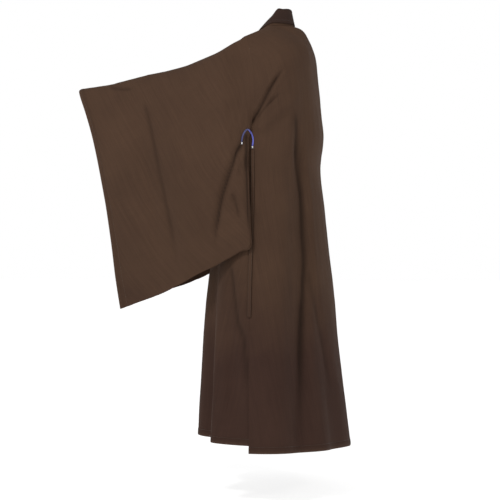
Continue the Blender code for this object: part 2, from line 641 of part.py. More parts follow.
def collar_grid(back, left, right, normals, outer_skin, inner_skin):
    """From the left front up round the neck and down the right front."""
    down = collar_side(left[:COLLAR_ROWS_LEFT, -1], normals["front_left"][:COLLAR_ROWS_LEFT, -1],
                       outer_skin, True)
    up = collar_side(right[:COLLAR_ROWS_RIGHT, -1], normals["front_right"][:COLLAR_ROWS_RIGHT, -1],
                     inner_skin, False)
    neck = back[0, 11:-11][1:-1]
    turn = np.abs(neck[:, :1]) / NECK["side_x"]
    side = np.array(COLLAR_STAND[0][1:])
    middle = np.array(COLLAR_BACK)
    offset = middle + (side * np.array([1.0, 1.0, 1.0]) - middle) * turn**2
    offset[:, 0] *= np.sign(neck[:, 0])
    around = np.stack([neck + offset * share for share in COLLAR_COLUMNS], axis=1)
    collar = np.concatenate([down[::-1], around, up])
    free = np.array(COLLAR_COLUMNS)[None, 1:, None] * ease((collar[1:-1, 1:, 2:] + 0.090) / 0.05)
    for _ in range(4):
        even = (collar[:-2, 1:] + 2 * collar[1:-1, 1:] + collar[2:, 1:]) / 4
        collar[1:-1, 1:] += (even - collar[1:-1, 1:]) * free
    return collar


def guard_sections(collar, normals):
    """The dark guard's section at each row: over the outside, the free edge and a little inside."""
    sections = []
    for points, out in zip(collar, normals):
        rise = unit(points[-1] - points[-2])
        line = []
        for extra in (GUARD_GAP, GUARD_GAP + GUARD_WALL):
            over = points[1:] + out[1:] * extra
            over[-1] += rise * extra
            under = points[:-3:-1] - out[:-3:-1] * (COLLAR_WALL + extra)
            under[0] += rise * extra
            line.append(np.concatenate([over, under]))
        sections.append(np.concatenate([line[0], line[1][::-1]]))
    return np.array(sections)


def strip_sections(tree, path, width, thick, gap, side, finer=1.0, bridge=1):
    """A flat strip that lies on the cloth: four corners at each step of a path seen from the side."""
    steps = np.linspace(0, len(path) - 1, int((len(path) - 1) * finer) + 1)
    path = smooth(range(len(path)), path, steps)
    centres, outs = [], []
    for y, z in path:
        hit, normal, _, _ = tree.ray_cast(Vector((side, y, z)), Vector((-side, 0.0, 0.0)))
        normal = np.array(normal)
        outs.append(normal if normal[0] * side > 0 else -normal)
        centres.append(np.array(hit))
    outs = np.array(outs)
    centres = np.array(centres)
    if bridge > 1:
        x = np.abs(centres[:, 0])
        centres[1:-1, 0] = side * np.maximum(x[1:-1], np.maximum(x[:-2], x[2:]))
    for _ in range(bridge):
        outs[1:-1] = unit(outs[:-2] + outs[1:-1] + outs[2:])
        level = (centres[:-2, 0] + centres[2:, 0]) / 2
        centres[1:-1, 0] = np.where(level * side > centres[1:-1, 0] * side, level, centres[1:-1, 0])
    centres = centres + outs * (gap + thick / 2)
    run = unit(np.gradient(centres, axis=0))
    wide = unit(np.cross(outs, run))
    sections = []
    for c, w, n in zip(centres, wide, outs):
        sections.append([c + w * width / 2 * a + n * thick / 2 * b
                         for a, b in ((-1, -1), (1, -1), (1, 1), (-1, 1))])
    return np.array(sections)


def pad_sections(tree, y, z, side, long, wide, high, gap):
    """A small rounded pad on the cloth: a knot or a bar of stitches."""
    hit, normal, _, _ = tree.ray_cast(Vector((side, y, z)), Vector((-side, 0.0, 0.0)))
    n = np.array(normal) * (1 if normal[0] * side > 0 else -1)
    down = unit(np.array([0.0, 0.0, -1.0]) + n * n[2])
    across = np.cross(n, down)
    centre = np.array(hit) + n * gap
    sections = []
    for along, size in ((-0.5, 0.55), (-0.36, 0.9), (0.0, 1.0), (0.36, 0.9), (0.5, 0.55)):
        ring = []
        for a, b in ((-0.5, 0.0), (0.5, 0.0), (0.46, 0.6), (0.2, 1.0), (-0.2, 1.0), (-0.46, 0.6)):
            ring.append(centre + down * along * long + across * a * wide * size + n * b * high * size)
        sections.append(ring)
    return np.array(sections)


def main():
    for obj in list(bpy.data.objects):
        bpy.data.objects.remove(obj, do_unlink=True)
    robe = bpy.data.collections.new("monk_robe")
    bpy.context.scene.collection.children.link(robe)

    back, back_places = back_grid()
    left, left_share = front_grid(True, 26)
    right, right_share = front_grid(False, 24)
    half = ARMHOLE_STEPS
    for front, column in ((left, 0), (right, -1)):
        closed = (stations() >= ARMPIT_STATION) & (stations() <= SLIT_TOP)
        front[closed, 0] = back[closed, column]
    left_hole = np.concatenate([back[: half + 1, 0], left[half - 1:0:-1, 0]])
    right_hole = np.concatenate([back[: half + 1, -1], right[half - 1:0:-1, 0]])
    mirror = np.array([-1.0, 1.0, 1.0])
    sleeve_left = sleeve_grid(left_hole, surface_tree([back, left]))
    robe_mirrored = surface_tree([back * mirror, right * mirror, left * mirror])
    sleeve_right = sleeve_grid(right_hole * mirror, robe_mirrored, RIGHT_BAG_RISE) * mirror

    panels = {
        "back": (back, outward_normals(back)),
        "front_left": (left, outward_normals(left)),
        "front_right": (right, outward_normals(right)),
        "sleeve_left": (sleeve_left, outward_normals(sleeve_left, True)),
        "sleeve_right": (sleeve_right, outward_normals(sleeve_right, True)),
    }
    normals = {name: panel[1] for name, panel in panels.items()}

    levels = stations()[:22]
    place = np.repeat(np.linspace(-1.97, -0.03, 48)[None], len(levels), axis=0)
    over = np.array([layer(line, level) for line, level in zip(place, levels)])
    outer_skin = surface_tree([folded(place, levels, over)])
    inner_skin = surface_tree([folded(place, levels, over - layer_step(levels)[:, None])])
    collar = collar_grid(back, left, right, normals, outer_skin, inner_skin)
    collar_normals = outward_normals(collar)
    for _ in range(3):
        turned = collar_normals[:-2] + 2 * collar_normals[1:-1] + collar_normals[2:]
        collar_normals[1:-1] = unit(turned)

    back_top = normals["back"][0]
    mid = len(back_places) // 2
    mitre_shoulder(back_top[:mid], back_places[:mid], normals["front_left"][0], left_share)
    mitre_shoulder(back_top[mid:], -back_places[mid:], normals["front_right"][0], right_share)
    for side, column in (("left", 0), ("right", -1)):
        front, sleeve = normals["front_" + side], normals["sleeve_" + side]
        mitre((normals["back"], np.s_[half + 1:, column]), (front, np.s_[half + 1:, 0]))
        mitre((normals["back"], np.s_[1:half, column]), (sleeve, np.s_[0, 1:half]))
        mitre_hollow(front, sleeve, panels["front_" + side][0], panels["sleeve_" + side][0],
                     slice(1, half))
        for row in (0, half):
            mitre((normals["back"], np.s_[row, column]), (front, np.s_[row, 0]), (sleeve, np.s_[0, row]))
    n_left, n_right = COLLAR_ROWS_LEFT, COLLAR_ROWS_RIGHT
    mitre((collar_normals, np.s_[:n_left - 1, 0]), (normals["front_left"], np.s_[n_left - 1:0:-1, -1]))
    mitre((collar_normals, np.s_[-n_right + 1:, 0]), (normals["front_right"], np.s_[1:n_right, -1]))
    mitre((collar_normals, np.s_[n_left:-n_right, 0]), (normals["back"], np.s_[0, 12:-12]))
    mitre((collar_normals, np.s_[n_left - 1, 0]), (normals["back"], np.s_[0, 11]),
          (normals["front_left"], np.s_[0, -1]))
    mitre((collar_normals, np.s_[-n_right, 0]), (normals["back"], np.s_[0, -12]),
          (normals["front_right"], np.s_[0, -1]))

    walls = {
        "back": pull_edges(back, ("top", "start", "end")),
        "front_left": pull_edges(left, ("top", "start")),
        "front_right": pull_edges(right, ("top", "start")),
        "sleeve_left": pull_sleeve(sleeve_left),
        "sleeve_right": pull_sleeve(sleeve_right),
    }
    for name, points in walls.items():
        wall_mesh(name, points, normals[name], CLOTH, "robe", around=name.startswith("sleeve"))
    collar[:, 0] += unit(collar[:, 1] - collar[:, 0]) * COLLAR_PULL
    wall_mesh("collar", collar, collar_normals, COLLAR_WALL, "robe")
    first, last = n_left - GUARD_ROWS, len(collar) - n_right + GUARD_ROWS
    tube_mesh("neck_guard", guard_sections(collar[first:last], collar_normals[first:last]), "dark",
              other=(5, 9, 10, 11, 12))

    robe_tree = surface_tree([back, left, right])
    for side, name, sleeve in ((1.0, "left", sleeve_left), (-1.0, "right", sleeve_right)):
        skin = surface_tree([back, left, right, sleeve[:, :half + 1]])
        tube_mesh("underarm_arch_" + name,
                  strip_sections(skin, ARCH, ARCH_WIDTH, STRIP_WALL, 0.0018, side, 2.0, 3), "blue")
        for end, (y, z) in (("back", ARCH[0]), ("sleeve", ARCH[-1])):
            tube_mesh(f"bar_tack_{name}_{end}",
                      pad_sections(skin, y, z - 0.0036, side, 0.0062, 0.0050, 0.0014, 0.0016), "white")
    tube_mesh("tie_left_long", strip_sections(robe_tree, LONG_TIE, TIE_WIDTH, STRIP_WALL, 0.0007, 1.0), "robe")
    tube_mesh("tie_right_front",
              strip_sections(robe_tree, CLOSING_TIE_FRONT, TIE_WIDTH, STRIP_WALL, 0.0007, -1.0), "robe")
    tube_mesh("tie_right_side",
              strip_sections(robe_tree, CLOSING_TIE_SIDE, TIE_WIDTH, STRIP_WALL, 0.0007, -1.0), "robe")
    tube_mesh("tie_right_knot",
              pad_sections(robe_tree, *CLOSING_KNOT, -1.0, 0.016, 0.021, 0.0045, 0.0036), "robe")


if __name__ == "__main__":
    main()
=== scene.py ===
# %% [markdown]
# # A monk's wide-sleeved robe, worn
#
# We dress a plain CAD model of a robe in Blender. The robe is sewn from two front panels and one
# back panel, two very wide sleeves and a folded collar. It keeps the form in which it is worn, but
# it is hollow: every piece is a thin wall of cloth, open at the neck, the cuffs and the hem.
#
# The lesson goes from large to small: camera and light, the tables of the cut, the panels, their
# folds, the sewn edges, the stitches, the ties, and then the cloth's finish.

import bpy
import numpy as np
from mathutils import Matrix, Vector, noise
from mathutils.bvhtree import BVHTree


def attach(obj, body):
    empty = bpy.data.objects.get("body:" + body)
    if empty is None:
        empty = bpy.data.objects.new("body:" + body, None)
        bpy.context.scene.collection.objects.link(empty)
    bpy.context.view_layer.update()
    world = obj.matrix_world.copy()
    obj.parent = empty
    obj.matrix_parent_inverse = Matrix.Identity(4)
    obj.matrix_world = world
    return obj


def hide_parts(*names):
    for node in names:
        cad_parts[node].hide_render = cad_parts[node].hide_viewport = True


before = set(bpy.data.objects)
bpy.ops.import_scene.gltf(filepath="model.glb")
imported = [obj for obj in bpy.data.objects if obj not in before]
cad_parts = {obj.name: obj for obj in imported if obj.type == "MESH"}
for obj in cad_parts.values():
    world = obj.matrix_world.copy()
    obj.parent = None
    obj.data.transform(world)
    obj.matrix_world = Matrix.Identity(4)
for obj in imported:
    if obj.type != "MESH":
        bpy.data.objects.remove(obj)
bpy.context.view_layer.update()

print("nodes:", ", ".join(sorted(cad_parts)))

# %% [markdown]
# ## Camera
#
# The robe's front faces -Y, and +X is its left side. The view is level, from the left side and ten
# degrees behind it, so the sleeve hides most of the front. A long lens from 4.5 metres keeps the
# hem and the shoulder at the same scale, as a catalogue view does.

# %% Camera at the robe's left side
VIEW_TURN = np.radians(100.0)
VIEW_FAR = 4.5
VIEW_RIGHT = -0.078
VIEW_HEIGHT = -0.69
# How wide the frame is for each metre of distance.
FRAME_WIDE = 500 / 1442

towards = np.array([np.sin(VIEW_TURN), -np.cos(VIEW_TURN), 0.0])
rightwards = np.array([-towards[1], towards[0], 0.0])
camera = bpy.data.objects.new("camera", bpy.data.cameras.new("camera"))
bpy.context.scene.collection.objects.link(camera)
camera.location = towards * VIEW_FAR + rightwards * VIEW_RIGHT + np.array([0.0, 0.0, VIEW_HEIGHT])
camera.rotation_euler = Vector(-towards).to_track_quat("-Z", "Y").to_euler()
camera.data.sensor_width = 36.0
camera.data.lens = 36.0 / FRAME_WIDE
camera.data.clip_start = 0.05
camera.data.clip_end = 200.0
bpy.context.scene.camera = camera
print("camera at", [round(x, 3) for x in camera.location], "lens", round(camera.data.lens, 1))

# %% [markdown]
# ## Floor and light
#
# Dark matt cloth shows its folds only where light falls across it. The sky is a studio with white
# walls and a dimmer ceiling, so the surroundings are white and the folds still have shadows. A
# soft lamp high at the robe's left, a little to the front, draws the folds. A weaker one behind it
# lights the back edge. The floor glows a little, so that it is as white as the walls.

# %% Floor, sky and two soft lamps
FLOOR_HEIGHT = -1.435
FLOOR_REACH = 30.0
FLOOR_GLOW = 0.78
CEILING = 0.38
ROBE_MIDDLE = (0.0, -0.1, -0.6)


def material_with(name, colour, rough):
    """A new material with its main shader, ready for more nodes."""
    material = bpy.data.materials.new(name)
    material.use_nodes = True
    shader = material.node_tree.nodes["Principled BSDF"]
    shader.inputs["Base Color"].default_value = (*colour, 1.0)
    shader.inputs["Roughness"].default_value = rough
    return material, shader


floor_mesh = bpy.data.meshes.new("studio_floor")
corners = [(a * FLOOR_REACH, b * FLOOR_REACH, FLOOR_HEIGHT)
           for a, b in ((-1, -1), (1, -1), (1, 1), (-1, 1))]
floor_mesh.from_pydata(corners, [], [(0, 1, 2, 3)])
floor = bpy.data.objects.new("studio_floor", floor_mesh)
bpy.context.scene.collection.objects.link(floor)
pale_floor, floor_shader = material_with("pale_floor", (0.50, 0.50, 0.50), 0.9)
floor_shader.inputs["Emission Color"].default_value = (1.0, 1.0, 1.0, 1.0)
floor_shader.inputs["Emission Strength"].default_value = FLOOR_GLOW
floor_mesh.materials.append(pale_floor)


def lamp(name, at, size, watts, tint=(1.0, 1.0, 1.0)):
    """A square soft lamp that faces the middle of the robe."""
    light = bpy.data.lights.new(name, "AREA")
    light.shape = "SQUARE"
    light.size = size
    light.energy = watts
    light.color = tint
    holder = bpy.data.objects.new(name, light)
    bpy.context.scene.collection.objects.link(holder)
    holder.location = at
    aim = Vector(ROBE_MIDDLE) - Vector(at)
    holder.rotation_euler = aim.to_track_quat("-Z", "Y").to_euler()
    return holder


lamp("key_lamp", (2.9, -1.3, 2.6), 0.9, 100.0, (1.0, 0.985, 0.96))
lamp("back_lamp", (2.6, 3.4, 1.8), 0.9, 30.0, (1.0, 0.97, 0.93))
world = bpy.data.worlds.new("studio_sky")
world.use_nodes = True
sky = world.node_tree
height = sky.nodes.new("ShaderNodeSeparateXYZ")
sky.links.new(sky.nodes.new("ShaderNodeTexCoord").outputs["Generated"], height.inputs[0])
steep = sky.nodes.new("ShaderNodeMath")
steep.operation = "ABSOLUTE"
sky.links.new(height.outputs["Z"], steep.inputs[0])
wall = sky.nodes.new("ShaderNodeMapRange")
for label, value in (("From Min", 0.22), ("From Max", 0.50), ("To Min", 1.0), ("To Max", CEILING)):
    wall.inputs[label].default_value = value
sky.links.new(steep.outputs[0], wall.inputs["Value"])
sky.links.new(wall.outputs["Result"], sky.nodes["Background"].inputs["Strength"])
sky.nodes["Background"].inputs["Color"].default_value = (1.0, 1.0, 1.0, 1.0)
bpy.context.scene.world = world
bpy.context.scene.view_settings.view_transform = "Standard"

# %% [markdown]
# ## The tables of the cut
#
# The robe is described by short tables. Each row of the body tables is one level: where the
# middle of the back or front lies, and where the side lies. The upper rows stop at the armhole;
# below the armpit the side is the side seam. These numbers are the ones that the CAD solids were
# made from, so the dressed cloth lies exactly where the solids are.

# %% Sizes of the cloth, the collar and the rows
# All lengths are in metres. A station counts the levels down the robe: 4 is the armpit, 11 the hem.
# A share goes from the middle of the back or front (0) to its side (1).
COLLAR_COLUMNS = (0.0, 0.12, 0.36, 0.62, 0.82, 1.0)
LAYER_STEP = 0.0068
LAYER_STEP_HEM = 0.0095
COLLAR_WIDTH = 0.058
COLLAR_WALL = 0.0024
GUARD_WALL = 0.001
GUARD_GAP = 0.0013
NECK_SHARE = 0.30
ARMHOLE_STATIONS = (0.0, 0.15, 0.32, 0.52, 0.74, 1.0, 1.3, 1.65, 2.0, 2.4, 2.8, 3.2, 3.6, 4.0)
ARMHOLE_STEPS = len(ARMHOLE_STATIONS) - 1
SKIRT_STEPS = 20
ARMPIT_STATION = 4.0
HEM_STATION = 11.0
SLIT_TOP = 9.0
SLIT_OPEN_BACK = 0.0062
SLIT_OPEN_FRONT = 0.0040
# How thick plain cloth and a hem are.
CLOTH = 0.0011
HEM_CLOTH = 0.0021
# How many columns a panel has across each shoulder, and each front from side to edge.
SHOULDER_COLUMNS = 12
LEFT_COLUMNS, RIGHT_COLUMNS = 26, 24

# %% Levels of the back and of the front
# Station, centre y and z, then side x, y and z, then how square the quarter turn between them is.
BACK_ROWS = (
    (1, 0.111, -0.052, 0.203, -0.040, -0.112, 2.3),
    (2, 0.131, -0.170, 0.234, -0.028, -0.205, 2.5),
    (3, 0.140, -0.262, 0.243, -0.030, -0.280, 2.5),
    (4, 0.148, -0.338, 0.240, -0.040, -0.338, 2.4),
    (5, 0.138, -0.430, 0.240, -0.037, -0.430, 2.3),
    (6, 0.150, -0.550, 0.245, -0.034, -0.550, 2.2),
    (7, 0.165, -0.690, 0.262, -0.032, -0.690, 2.1),
    (8, 0.180, -0.820, 0.281, -0.030, -0.820, 2.1),
    (9, 0.194, -0.980, 0.300, -0.028, -0.975, 2.1),
    (10, 0.211, -1.130, 0.318, -0.026, -1.122, 2.1),
    (11, 0.230, -1.295, 0.335, -0.024, -1.280, 2.1),
)
FRONT_ROWS = (
    (1, -0.106, -0.092, 0.142, -0.116, -0.100, 2.2),
    (2, -0.134, -0.175, 0.152, -0.142, -0.180, 2.4),
    (3, -0.146, -0.260, 0.192, -0.112, -0.262, 2.4),
    (4, -0.150, -0.338, 0.240, -0.040, -0.338, 2.4),
    (5, -0.157, -0.430, 0.240, -0.037, -0.430, 2.3),
    (6, -0.170, -0.550, 0.245, -0.034, -0.550, 2.2),
    (7, -0.183, -0.685, 0.262, -0.032, -0.690, 2.1),
    (8, -0.197, -0.812, 0.281, -0.030, -0.820, 2.1),
    (9, -0.205, -0.965, 0.300, -0.028, -0.975, 2.1),
    (10, -0.209, -1.104, 0.317, -0.026, -1.110, 2.1),
    (11, -0.213, -1.247, 0.333, -0.024, -1.258, 2.1),
)
NECK = {"side_x": 0.072, "back_y": 0.062, "front_y": -0.060, "front_drop": 0.022}
ARMHOLE_TOP = (0.175, -0.060, -0.046)

# %% Long folds of the skirt, and the edge of the fronts
# A fold's place is counted in quarter turns from the left side seam, to the back as +, to the
# front as -. Each step down it: z, place, half width in quarter turns, height (a trough is -).
FOLDS = {
    "left back deep trough": ((-0.16, 0.52, 0.12, 0.0), (-0.34, 0.52, 0.13, -0.010),
                              (-0.60, 0.48, 0.13, -0.020), (-0.90, 0.42, 0.13, -0.030),
                              (-1.30, 0.38, 0.13, -0.036)),
    "left back ridge": ((-0.50, 0.16, 0.16, 0.0), (-0.90, 0.16, 0.16, 0.010),
                        (-1.30, 0.16, 0.16, 0.016)),
    "left back diagonal": ((-0.70, 0.56, 0.09, 0.0), (-0.95, 0.66, 0.11, -0.012),
                           (-1.30, 0.74, 0.12, -0.020)),
    "left front side trough": ((-0.68, -0.30, 0.07, 0.0), (-0.85, -0.22, 0.08, -0.008),
                               (-1.30, -0.07, 0.09, -0.013)),
    "left front ridge": ((-0.70, -0.36, 0.10, 0.0), (-0.95, -0.33, 0.10, 0.012),
                         (-1.30, -0.30, 0.10, 0.020)),
    "left front notch": ((-0.60, -0.48, 0.09, 0.0), (-0.82, -0.48, 0.10, -0.018),
                         (-1.30, -0.47, 0.10, -0.055)),
    "front left lap": ((-0.50, -0.72, 0.12, 0.0), (-0.90, -0.70, 0.12, 0.010),
                       (-1.30, -0.68, 0.12, 0.020)),
    "front middle trough": ((-0.42, -1.06, 0.12, 0.0), (-0.80, -1.04, 0.12, -0.012),
                            (-1.30, -0.96, 0.13, -0.028)),
    "front right lap": ((-0.46, -1.30, 0.12, 0.0), (-0.85, -1.26, 0.12, 0.009),
                        (-1.30, -1.22, 0.12, 0.018)),
    "front right trough": ((-0.50, -1.60, 0.10, 0.0), (-0.85, -1.55, 0.11, -0.014),
                           (-1.30, -1.48, 0.12, -0.034)),
    "right side ridge": ((-0.56, 1.86, 0.14, 0.0), (-0.90, 1.84, 0.14, 0.008),
                         (-1.30, 1.83, 0.14, 0.014)),
    "right back trough": ((-0.22, 1.50, 0.12, 0.0), (-0.42, 1.50, 0.12, -0.008),
                          (-0.85, 1.55, 0.12, -0.020), (-1.30, 1.60, 0.12, -0.034)),
    "back middle ridge": ((-0.45, 0.96, 0.16, 0.0), (-0.90, 1.02, 0.16, 0.003),
                          (-1.30, 1.04, 0.16, 0.006)),
    "back right trough": ((-0.60, 1.22, 0.10, 0.0), (-0.95, 1.24, 0.11, -0.010),
                          (-1.30, 1.27, 0.12, -0.022)),
}
# Where the free edge of a front runs: station, then its place from the robe's own side (1) over
# the middle (0) towards the other side (-1).
FRONT_EDGE = (
    (0.0, NECK_SHARE), (0.5, 0.255), (1.0, 0.165), (1.5, 0.045), (2.0, -0.090), (3.0, -0.330),
    (4.0, -0.520), (5.0, -0.700), (6.0, -0.830), (7.0, -0.885), (8.0, -0.905), (11.0, -0.915),
)
INNER_EDGE_SHARE = 0.90

# %% [markdown]
# ## Curves through a few values
#
# One small function does most of the work: it draws a smooth curve through the rows of a table.
# With it, eleven levels are enough for a panel of any fineness.

# %% Curve helpers
def smooth(knots, values, at):
    """A curve through values at knots, with the slope at each knot taken from both neighbours."""
    knots = np.asarray(knots, float)
    values = np.asarray(values, float)
    at = np.atleast_1d(np.asarray(at, float))
    slopes = np.gradient(values, knots, axis=0)
    i = np.clip(np.searchsorted(knots, at, side="right") - 1, 0, len(knots) - 2)
    step = knots[i + 1] - knots[i]
    u = np.clip((at - knots[i]) / step, 0.0, 1.0)
    shape = (-1,) + (1,) * (values.ndim - 1)
    u, step = u.reshape(shape), step.reshape(shape)
    return ((2 * u**3 - 3 * u**2 + 1) * values[i] + (u**3 - 2 * u**2 + u) * step * slopes[i]
            + (3 * u**2 - 2 * u**3) * values[i + 1] + (u**3 - u**2) * step * slopes[i + 1])


def ease(x):
    """0 to 1 with flat ends."""
    x = np.clip(x, 0.0, 1.0)
    return x * x * (3 - 2 * x)


def unit(vectors):
    """The same directions, each one long."""
    return vectors / np.maximum(np.linalg.norm(vectors, axis=-1, keepdims=True), 1e-12)


# %% [markdown]
# ## The robe's surface
#
# A level is made of quarter turns: from the middle of the back (or front) round to the side. A
# rounded square, not an ellipse, keeps the back flat and turns fast at the side, which is how
# cloth hangs from the shoulders. Folds then move the surface out or in by a soft bump across
# and a slow change of depth down the robe.

# %% One level, the neck, and the folds
def quarter(row, share):
    """Points of one row from the centre (0) to the side (1), even along the cloth."""
    station, centre_y, centre_z, side_x, side_y, side_z, square = row
    turn = np.linspace(0.0, np.pi / 2, 241)
    x = side_x * np.sin(turn) ** (2 / square)
    y = side_y + (centre_y - side_y) * np.cos(turn) ** (2 / square)
    length = np.concatenate([[0.0], np.cumsum(np.hypot(np.diff(x), np.diff(y)))])
    at = share * length[-1]
    z = centre_z + (side_z - centre_z) * (share**2 if station < 4 else share * (2 - share))
    return np.stack([np.interp(at, length, x), np.interp(at, length, y), z], axis=-1)


def neck_row(share, front):
    """The top row: round the neck base, then out along the shoulder to the armhole."""
    turn = np.clip(share / NECK_SHARE, 0.0, 1.0) * np.pi / 2
    deep = NECK["front_y"] if front else NECK["back_y"]
    drop = NECK["front_drop"] * np.cos(turn) if front else 0.0 * turn
    ring = np.stack([NECK["side_x"] * np.sin(turn), deep * np.cos(turn), -drop], axis=-1)
    out = np.clip((share - NECK_SHARE) / (1 - NECK_SHARE), 0.0, 1.0)[:, None]
    side = np.array([NECK["side_x"], 0.0, 0.0])
    return np.where(out > 0, side + out * (np.array(ARMHOLE_TOP) - side), ring)


def fold_height(place, z):
    """How far the folds move the cloth out at a place round the body and a height."""
    total = np.zeros(np.shape(place))
    for steps in FOLDS.values():
        steps = np.array(steps)[::-1]
        middle, wide, high = (np.interp(z, steps[:, 0], steps[:, k]) for k in (1, 2, 3))
        high = np.where(z > steps[-1, 0], 0.0, high)
        off = (place - middle + 2.0) % 4.0 - 2.0
        total = total + high * np.exp(-((off / wide) ** 2))
    return total


# %% The surface at a place round the body and a level
def body(place, station):
    """The robe's surface: place in quarter turns from the left side seam, and station down it.

    Above the armpit the back (place 0 to 2) and the front (place 0 to -2) part at the armhole.
    """
    place = np.asarray(place, float)
    front = place < 0
    if front.any() and not front.all():
        raise ValueError("one call is for the back or for the front")
    front = bool(front.any())
    side = np.where(np.abs(place) > 1, -1.0, 1.0)
    share = np.abs(1.0 - np.abs(place))
    rows = [quarter(row, share) for row in (FRONT_ROWS if front else BACK_ROWS)]
    other = [quarter(row, share) for row in (BACK_ROWS if front else FRONT_ROWS)]
    knots = np.array([-1.15, 0.0] + [row[0] for row in BACK_ROWS])
    columns = np.stack([other[0], neck_row(share, front)] + rows)
    gaps = np.linalg.norm(np.diff(columns, axis=0), axis=-1).mean(axis=1)
    length = np.concatenate([[0.0], np.cumsum(gaps)])
    points = smooth(length, columns, np.interp(station, knots, length))
    points[..., 0] *= side
    return points


def outward_normals(points, around=False):
    """Unit normals of a grid of points, turned away from the middle of what it goes round."""
    if around:
        wrapped = np.concatenate([points[:, -1:], points, points[:, :1]], axis=1)
        across = wrapped[:, 2:] - wrapped[:, :-2]
        middle = points.mean(axis=1, keepdims=True)
    else:
        across = np.gradient(points, axis=1)
        middle = points * np.array([0.0, 0.0, 1.0]) + np.array([0.0, -0.03, -0.05])
    normals = unit(np.cross(np.gradient(points, axis=0), across))
    return normals if (normals * (points - middle)).sum() > 0 else -normals


def stations():
    """Stations down the robe. Those to the armpit are shared with the sleeve."""
    upper = np.array(ARMHOLE_STATIONS)
    lower = np.linspace(ARMPIT_STATION, HEM_STATION, SKIRT_STEPS + 1)
    return np.concatenate([upper, lower[1:]])


def folded(place, station_list, lift=None):
    """A panel's grid with its folds: rows go down, columns go round."""
    rows = [body(line, np.array([station]))[0] for line, station in zip(place, station_list)]
    flat = np.stack(rows)
    high = fold_height(place, flat[..., 2])
    if lift is not None:
        high = high + lift
    return flat + outward_normals(flat) * high[..., None]


# %% [markdown]
# ## Back panel and the two fronts
#
# The back is one width with a plain centre. Each front runs from its side seam across the chest
# to a free edge at the far side, the left one outside. The two layers stay seven to ten
# millimetres apart, which the function layer_step gives.

# %% Grids of the three body panels
def by_seam(place, seam):
    """1 on a side seam, and less the further a place is from it."""
    return np.exp(-(((place - seam) / 0.10) ** 2))


def back_grid():
    """The back panel, from the left side seam round to the right one, a little open at the slits."""
    levels = stations()
    out = np.linspace(NECK_SHARE, 1.0, SHOULDER_COLUMNS)
    share = np.concatenate([-out[::-1], np.linspace(-NECK_SHARE, NECK_SHARE, 9)[1:-1], out])
    place = np.repeat(np.clip(1.0 - share, 0.0, 2.0)[None, ::-1], len(levels), axis=0)
    open_side = ease((levels - SLIT_TOP) / 1.2)[:, None]
    lift = SLIT_OPEN_BACK * open_side * (by_seam(place, 0.0) + by_seam(place, 2.0))
    return folded(place, levels, lift)


def front_edge(level, share):
    """Where a front's free edge runs. The inner front stops a little short of the outer one's."""
    knots = [k for k, _ in FRONT_EDGE]
    edge = smooth(knots, [v for _, v in FRONT_EDGE], level)[0]
    return np.where(edge < 0, edge * share, edge)


def layer_step(level):
    """The distance from the right front out to the left front that covers it."""
    low = ease((level - 5.0) / 5.0)
    return (LAYER_STEP + (LAYER_STEP_HEM - LAYER_STEP) * low) * ease(level / 0.8)


def layer(place, level):
    """How far out of the plain surface the left front lies."""
    return layer_step(level) * ease((-place - 0.85) / 0.75)


def front_grid(left, columns):
    """One front panel, from its side seam across to its free edge."""
    levels = stations()
    grid = []
    for level in levels:
        edge = float(front_edge(level, 1.0 if left else INNER_EDGE_SHARE))
        share = np.linspace(1.0, edge, columns)
        grid.append(-(1.0 - share) if left else -(1.0 + share))
    place = np.clip(np.array(grid), -2.0, -1e-9)
    lift = np.array([layer(line, level) for line, level in zip(place, levels)])
    if not left:
        lift = lift - layer_step(levels)[:, None]
    open_side = ease((levels - SLIT_TOP) / 1.2)[:, None]
    lift = lift - SLIT_OPEN_FRONT * open_side * by_seam(place, 0.0 if left else -2.0)
    return folded(place, levels, lift)


back = back_grid()
left = front_grid(True, LEFT_COLUMNS)
right = front_grid(False, RIGHT_COLUMNS)
sewn_rows = (stations() >= ARMPIT_STATION) & (stations() <= SLIT_TOP)
left[sewn_rows, 0] = back[sewn_rows, 0]
right[sewn_rows, 0] = back[sewn_rows, -1]
print("body panels:", back.shape, left.shape, right.shape)

# %% [markdown]
# ## Sleeves
#
# Each sleeve is a tube that is narrow where it joins the body and more than twice as deep at the
# cuff. Its top is round; everything below is a flat bag that hangs from it. So a ring of the sleeve
# is a half circle at the top, then two walls that close in on each other.

# %% Tables of the sleeve
# From armhole to cuff: x, y, z of the sleeve's top line, then the radius that the cloth turns over.
SLEEVE_TOP = (
    (0.175, -0.060, -0.046, 0.052),
    (0.172, -0.100, -0.066, 0.054),
    (0.167, -0.168, -0.101, 0.056),
    (0.152, -0.272, -0.135, 0.054),
    (0.132, -0.377, -0.152, 0.050),
    (0.110, -0.484, -0.1735, 0.046),
    (0.088, -0.585, -0.184, 0.041),
    (0.084, -0.606, -0.190, 0.040),
)
# Down the rear seam from the armpit to the corner, then forward along the bottom of the bag.
SLEEVE_FOOT = (
    (0.240, -0.040, -0.338),
    (0.252, -0.039, -0.405),
    (0.262, -0.036, -0.490),
    (0.271, -0.032, -0.590),
    (0.279, -0.030, -0.678),
    (0.262, -0.117, -0.726),
    (0.238, -0.196, -0.763),
    (0.196, -0.300, -0.815),
    (0.160, -0.380, -0.844),
    (0.126, -0.464, -0.871),
)
